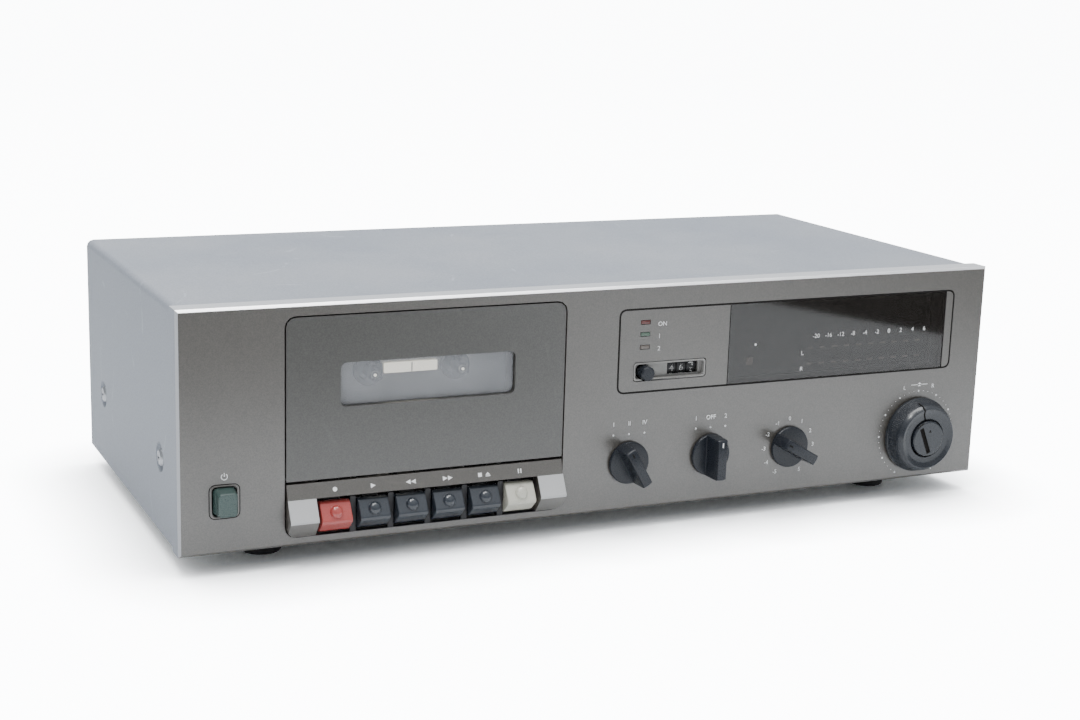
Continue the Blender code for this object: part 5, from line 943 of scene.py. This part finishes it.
for name, x, shown in (("hundreds", 30.0, 4.0), ("tens", 35.4, 6.0), ("units", 40.8, 4.5)):
    node = f"counter_wheel_{name}"
    profile = [(1.4, x - 2.5), (7.2, x - 2.5), (7.42, x - 2.42), (7.5, x - 2.2), (7.5, x + 2.2),
               (7.42, x + 2.42), (7.2, x + 2.5), (1.4, x + 2.5)]
    wheel = turned(profile, (WHEEL_Y, WHEEL_Z), 120, 0)
    mounted(new_object(f"counter_{name}_rim", [wheel], dark_plastic), node)
    marks = [words(str(digit), x, (shown - digit) * DIGIT_ARC, 3.7, 0.08) for digit in range(10)]
    flat = np.concatenate([mark[0] for mark in marks])
    starts = np.cumsum([0] + [len(mark[0]) for mark in marks[:-1]])
    faces = [[corner + start for corner in face] for (_, held), start in zip(marks, starts) for face in held]
    digits = new_object(f"counter_{name}_digits", [(placed(on_wheel(flat, -0.03)), faces)], lit_plastic)
    digits.modifiers.new("ink", "SOLIDIFY").thickness = 0.05 * MM
    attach(digits, body_of[node])
    print(f"the {name} wheel shows {shown:g}")

# %% [markdown]
# The level ring has a dark index line that climbs its cone, crosses the crest and ends at the inner
# knob. It can't be a flat print, so it is a strip laid along points of the knob's own profile.

# %% Level ring's index line
INDEX_ANGLE = 102
track = np.array([(18.0, -5.9), (17.05, -8.85), (15.8, -10.6), (15.4, -10.95), (15.0, -10.9), (13.2, -10.05),
                  (12.8, -9.95), (10.15, -9.95)])
slopes = np.gradient(track, axis=0)
leaning = np.stack([slopes[:, 1], -slopes[:, 0]], 1)
leaning /= -np.linalg.norm(leaning, axis=1)[:, None]


def on_level(flat, depth):
    """v counts the points (r, y) of the track, moved in by depth along the profile's normal, and u goes
    round: X = x + r cos a and Z = z + r sin a, with a = 102 degrees - u / r."""
    at = np.round(flat[..., 1]).astype(int)
    radius, y = (track[at] - depth * leaning[at]).T
    angle = math.radians(INDEX_ANGLE) - flat[..., 0] / radius
    return np.stack([LEVEL_X + radius * np.cos(angle), y, KNOB_Z + radius * np.sin(angle)], -1)


steps = np.arange(len(track))
line = np.concatenate([np.stack([np.full(len(track), side), steps], 1) for side in (-0.4, 0.4)])
shell = (placed(on_level(line, -0.05)), grid_quads(2, len(track), False).tolist())
index_line = new_object("level_index_line", [shell], mask_black)
thickness = index_line.modifiers.new("ink", "SOLIDIFY")
thickness.thickness, thickness.offset = 0.12 * MM, 0
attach(index_line, body_of["record_level_knob"])
print("index line:", len(track), "points along the knob's profile")

# %% [markdown]
# Small marks show where the other knobs stand. Of the selectors, only the middle one's is white. The
# balance knob has a small dark triangle, and the floor and walls of its slot take the dark mask finish,
# painted shade in the recess.


# %% Knob pointers
def grip_plane(x, pointing):
    """The front of a selector's grip: the panel's plane turned to where the knob points."""
    return lambda flat, depth: turned_about(lifted(flat, depth, 1), x, KNOB_Z, pointing)


pointer = polygon_mark([(LEVEL_X - 0.1, KNOB_Z + 3.3), (LEVEL_X + 1.5, KNOB_Z + 3.3),
                        (LEVEL_X + 0.7, KNOB_Z + 4.7)])
printed("balance_pointer", "balance_knob", [pointer], on_front, -11.4, mask_black)
middles = turned_about(faces_of(balance)[0], LEVEL_X, KNOB_Z, -BALANCE_TURN)
# Painted shade: the slot's floor and walls take the dark mask finish.
slot_shade_faces = (np.abs(middles[:, 0] - LEVEL_X + 2.2) < 1.3) & (np.abs(middles[:, 1] + 10.7) < 0.5)
refinish(balance, slot_shade_faces, mask_black)
print(int(slot_shade_faces.sum()), "faces in the balance slot")
for node, x, pointing in SELECTORS:
    printed(f"{node}_pointer", node, [block_mark(x, KNOB_Z + 7.6, 0.7, 2.4)], grip_plane(x, pointing),
            -13.0, ink if pointing == 0 else mask_black)

# %% [markdown]
# Each reel spindle ends in a pin inside a steel ring. The pin takes the strip's glowing finish, a painted
# highlight. Both are turned profiles, and they share one piece with two finishes, given by how far a face
# lies from the spindle's axis. The pale card behind the reels makes the tape on them easy to see, and its
# glow is painted light. The imported card is a plain strip, so a card with softened corners stands for
# it, with a dark line across its middle.

# %% Spindle pins and the reel strip
SPINDLE_Z, SPINDLE_SPREAD = 71.8, 21.25
pin_profile = [(0, 12.75), (0.4, 12.8), (0.6, 12.95), (0.7, 13.2), (0.7, 14.4), (0, 14.4)]
ring_profile = [(1.55, 14.4), (1.6, 13.15), (1.75, 13.15), (1.8, 14.4)]
for node, x in (("supply_spindle", DECK_X - SPINDLE_SPREAD), ("takeup_spindle", DECK_X + SPINDLE_SPREAD)):
    shells = [turned(profile, (x, SPINDLE_Z), 32) for profile in (pin_profile, ring_profile)]
    pin = new_object(f"{node}_pin", shells, glowing_strip)
    middles = faces_of(pin)[0]
    # Painted highlight: the pin keeps the glowing strip finish, and only the ring takes plated steel.
    refinish(pin, np.hypot(middles[:, 0] - x, middles[:, 2] - SPINDLE_Z) > 1.2, plated_steel)
    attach(pin, body_of[node])
strip = moulded_bar(box_outline(-108.4, -82.8, 69.9, 74.4, 0.2), 23.0, 24.2, 0.1, 1, steps=2)
mounted(new_object("reel_strip_card", [strip], glowing_strip), "reel_reflector")
divider = block_mark(DECK_X, 72.15, 0.5, 4.3)
printed("reel_strip_divider", "reel_reflector", [divider], on_front, 23.0, mask_black)
print("spindle pins", 2 * SPINDLE_SPREAD, "mm apart")

# %% [markdown]
# The power button stands in a small well with a raised lip. A bevelled frame could be modelled by hand,
# but a lip is simpler as a closed outline carried round itself: from the outer outline over the crest
# to the inner outline, and back below the surface.


# %% Power button's lip
def lip(left, right, low, high, radius, width, height):
    """A raised rim round an opening. Its ring with share s and depth d is outer + s (inner - outer) at
    depth d; the shares run from 0 to 1 and back, and the depths over the crest and then 0.4 below."""
    outer = box_outline(left - width, right + width, low - width, high + width, radius + width)
    inner = box_outline(left, right, low, high, radius)
    shares = np.array([0, 0.06, 0.3, 0.7, 0.94, 1, 1, 0])
    depths = np.append(np.array([0, -0.6, -1, -1, -0.6, 0]) * height, [0.4, 0.4])
    rings = outer[None] + (inner - outer)[None] * shares[:, None, None]
    points = placed(lifted(rings, depths[:, None], 1))
    points = np.concatenate([points, points[:1]])
    return points, grid_quads(len(points), points.shape[1], True).tolist()


POWER_Z = 23.8
well = lip(POWER_X - 5.5, POWER_X + 5.5, POWER_Z - 6.65, POWER_Z + 6.65, 2.0, 0.75, 0.3)
well_lip = new_object("power_button_lip", [well], panel_paint)
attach(well_lip, "root")
print("lip:", len(well_lip.data.polygons), "faces")

# %% [markdown]
# Where the insert and the button sit in the panel, a narrow dark gap goes round them. A dark line of
# ink, as thin as the print, stands for it.

# %% Gaps round the display insert and the power button
gaskets = [frame_mark(-1, 191, 57.1, 98, 4, 0.85), block_mark(185.65, 77.55, 0.7, 39.6),
           block_mark(58.95, 77.55, 0.35, 39.6)]
printed("display_gasket", "front_panel", gaskets, on_front, 0.0, mask_black)
groove = frame_mark(POWER_X - 7, POWER_X + 7, 15.95, 31.65, 3.3, 0.4)
printed("power_button_groove", "front_panel", [groove], on_front, 0.0, mask_black)

# %% [markdown]
# A product photograph on white uses a sweep: a sheet that runs over the table and curves up behind the
# object, so that no horizon shows. It is one profile, flat then bending up through a quarter circle,
# carried along X. Overexposed paper reads as pure white except right beside the object, so the sheet
# glows for the camera, and the glow is dimmed where Ambient Occlusion finds the deck nearby: a painted
# contact shadow. The glow lights nothing, so Cycles is told not to send light samples to it, which would
# only add noise.

# %% Sweep
GLOW = 11.0
paper = bpy.data.materials.new("sweep_paper")
paper.use_nodes = True
tree = paper.node_tree
shader = tree.nodes["Principled BSDF"]
shader.inputs["Base Color"].default_value = (0.88, 0.9, 0.92, 1)
shader.inputs["Roughness"].default_value = 0.4
shader.inputs["Emission Color"].default_value = (0.96, 0.98, 1, 1)
# Painted shadow: AO to the power 2.9 dims the camera's glow near the deck.
near = wire(tree, "ShaderNodeAmbientOcclusion", {"Distance": 0.055}, samples=12).outputs["AO"]
painted_shadow_factor = calc(tree, "POWER", near, 2.9)
seen = wire(tree, "ShaderNodeLightPath").outputs["Is Camera Ray"]
tree.links.new(calc(tree, "MULTIPLY", calc(tree, "MULTIPLY", painted_shadow_factor, seen), GLOW),
               shader.inputs["Emission Strength"])
paper.cycles.emission_sampling = "NONE"
bend = np.linspace(0, math.pi / 2, 24)
back = np.concatenate([[-6], 3 + 1.2 * np.sin(bend), [4.2]])
rise = np.concatenate([[0], 1.2 * (1 - np.cos(bend)), [5]])
rows = np.stack(np.broadcast_arrays(np.array([-6.0, 6.0]), back[:, None], rise[:, None]), -1)
sweep = new_object("sweep", [(rows, grid_quads(len(back), 2, False).tolist())], paper)
print("sweep:", len(sweep.data.polygons), "faces")

# %% [markdown]
# The light is a white room: a pale sky, brighter above than at the horizon, a large soft lamp overhead,
# a small bright one at the upper left, which draws the highlights, and a weak fill from the front. For
# the camera the sky is as white as the sweep, so that no view shows where the paper ends.


# %% Lights and sky
def lamp(name, place, aim, size, power):
    """A square soft light at place, in metres, whose -Z axis points along aim - place."""
    light = bpy.data.lights.new(name, "AREA")
    light.size, light.energy = size, power
    thing = bpy.data.objects.new(name, light)
    toward = (Vector(aim) - Vector(place)).to_track_quat("-Z", "Y").to_matrix().to_4x4()
    thing.matrix_world = Matrix.Translation(place) @ toward
    bpy.context.scene.collection.objects.link(thing)


world = bpy.data.worlds.new("studio")
bpy.context.scene.world = world
world.use_nodes = True
sky = world.node_tree.nodes["Background"]
sky.inputs["Color"].default_value = (0.93, 0.965, 1, 1)
toward = wire(world.node_tree, "ShaderNodeTexCoord").outputs["Generated"]
upward = wire(world.node_tree, "ShaderNodeSeparateXYZ", {0: toward}).outputs[2]
lit = remap(world.node_tree, upward, -0.1, 0.8, 0.29, 0.95)
looked_at = wire(world.node_tree, "ShaderNodeLightPath").outputs["Is Camera Ray"]
world.node_tree.links.new(calc(world.node_tree, "MULTIPLY_ADD", looked_at, GLOW, lit), sky.inputs["Strength"])
lamp("overhead", (0.1, 0.35, 2.2), (0, -0.1, 0.05), 1.8, 98)
lamp("front_fill", (0.8, -2.4, 1.3), (0, 0, 0.05), 1.6, 2)
lamp("key_light", (-0.7, -0.6, 1.9), (0, 0, 0.05), 0.35, 13)
print(len(bpy.data.lights), "lamps")

# %% [markdown]
# Two dark sheets lie where the studio's white floor ended, at the front right and along the front. Only
# mirror-like rays find them, so they are painted reflections: the one at the right makes the dark wedge
# in the meter window, and the near one keeps the floor's glare out of the front.

# %% Dark sheets
reflection_only_cloth = bpy.data.materials.new("reflection_only_cloth")
reflection_only_cloth.use_nodes = True
cloth_shader = reflection_only_cloth.node_tree.nodes["Principled BSDF"]
cloth_shader.inputs["Base Color"].default_value = (0.02, 0.018, 0.016, 1)
cloth_shader.inputs["Roughness"].default_value = 1
right_sheet = [(0.501, -0.279, 0.002), (0.249, -0.879, 0.002), (1.6, -1.5, 0.002), (1.8, -0.6, 0.002)]
near_sheet = [(-1.5, -0.35, 0.002), (0.13, -0.35, 0.002), (0.13, -1.6, 0.002), (-1.5, -1.6, 0.002)]
sheets = [(np.array(corners), [[0, 1, 2, 3]]) for corners in (right_sheet, near_sheet)]
# Painted reflection: the sheets are seen by glossy rays only.
cloth = new_object("reflection_only_cloth", sheets, reflection_only_cloth)
for ray in ("camera", "diffuse", "shadow", "transmission"):
    setattr(cloth, f"visible_{ray}", False)
print(len(sheets), "dark sheets")
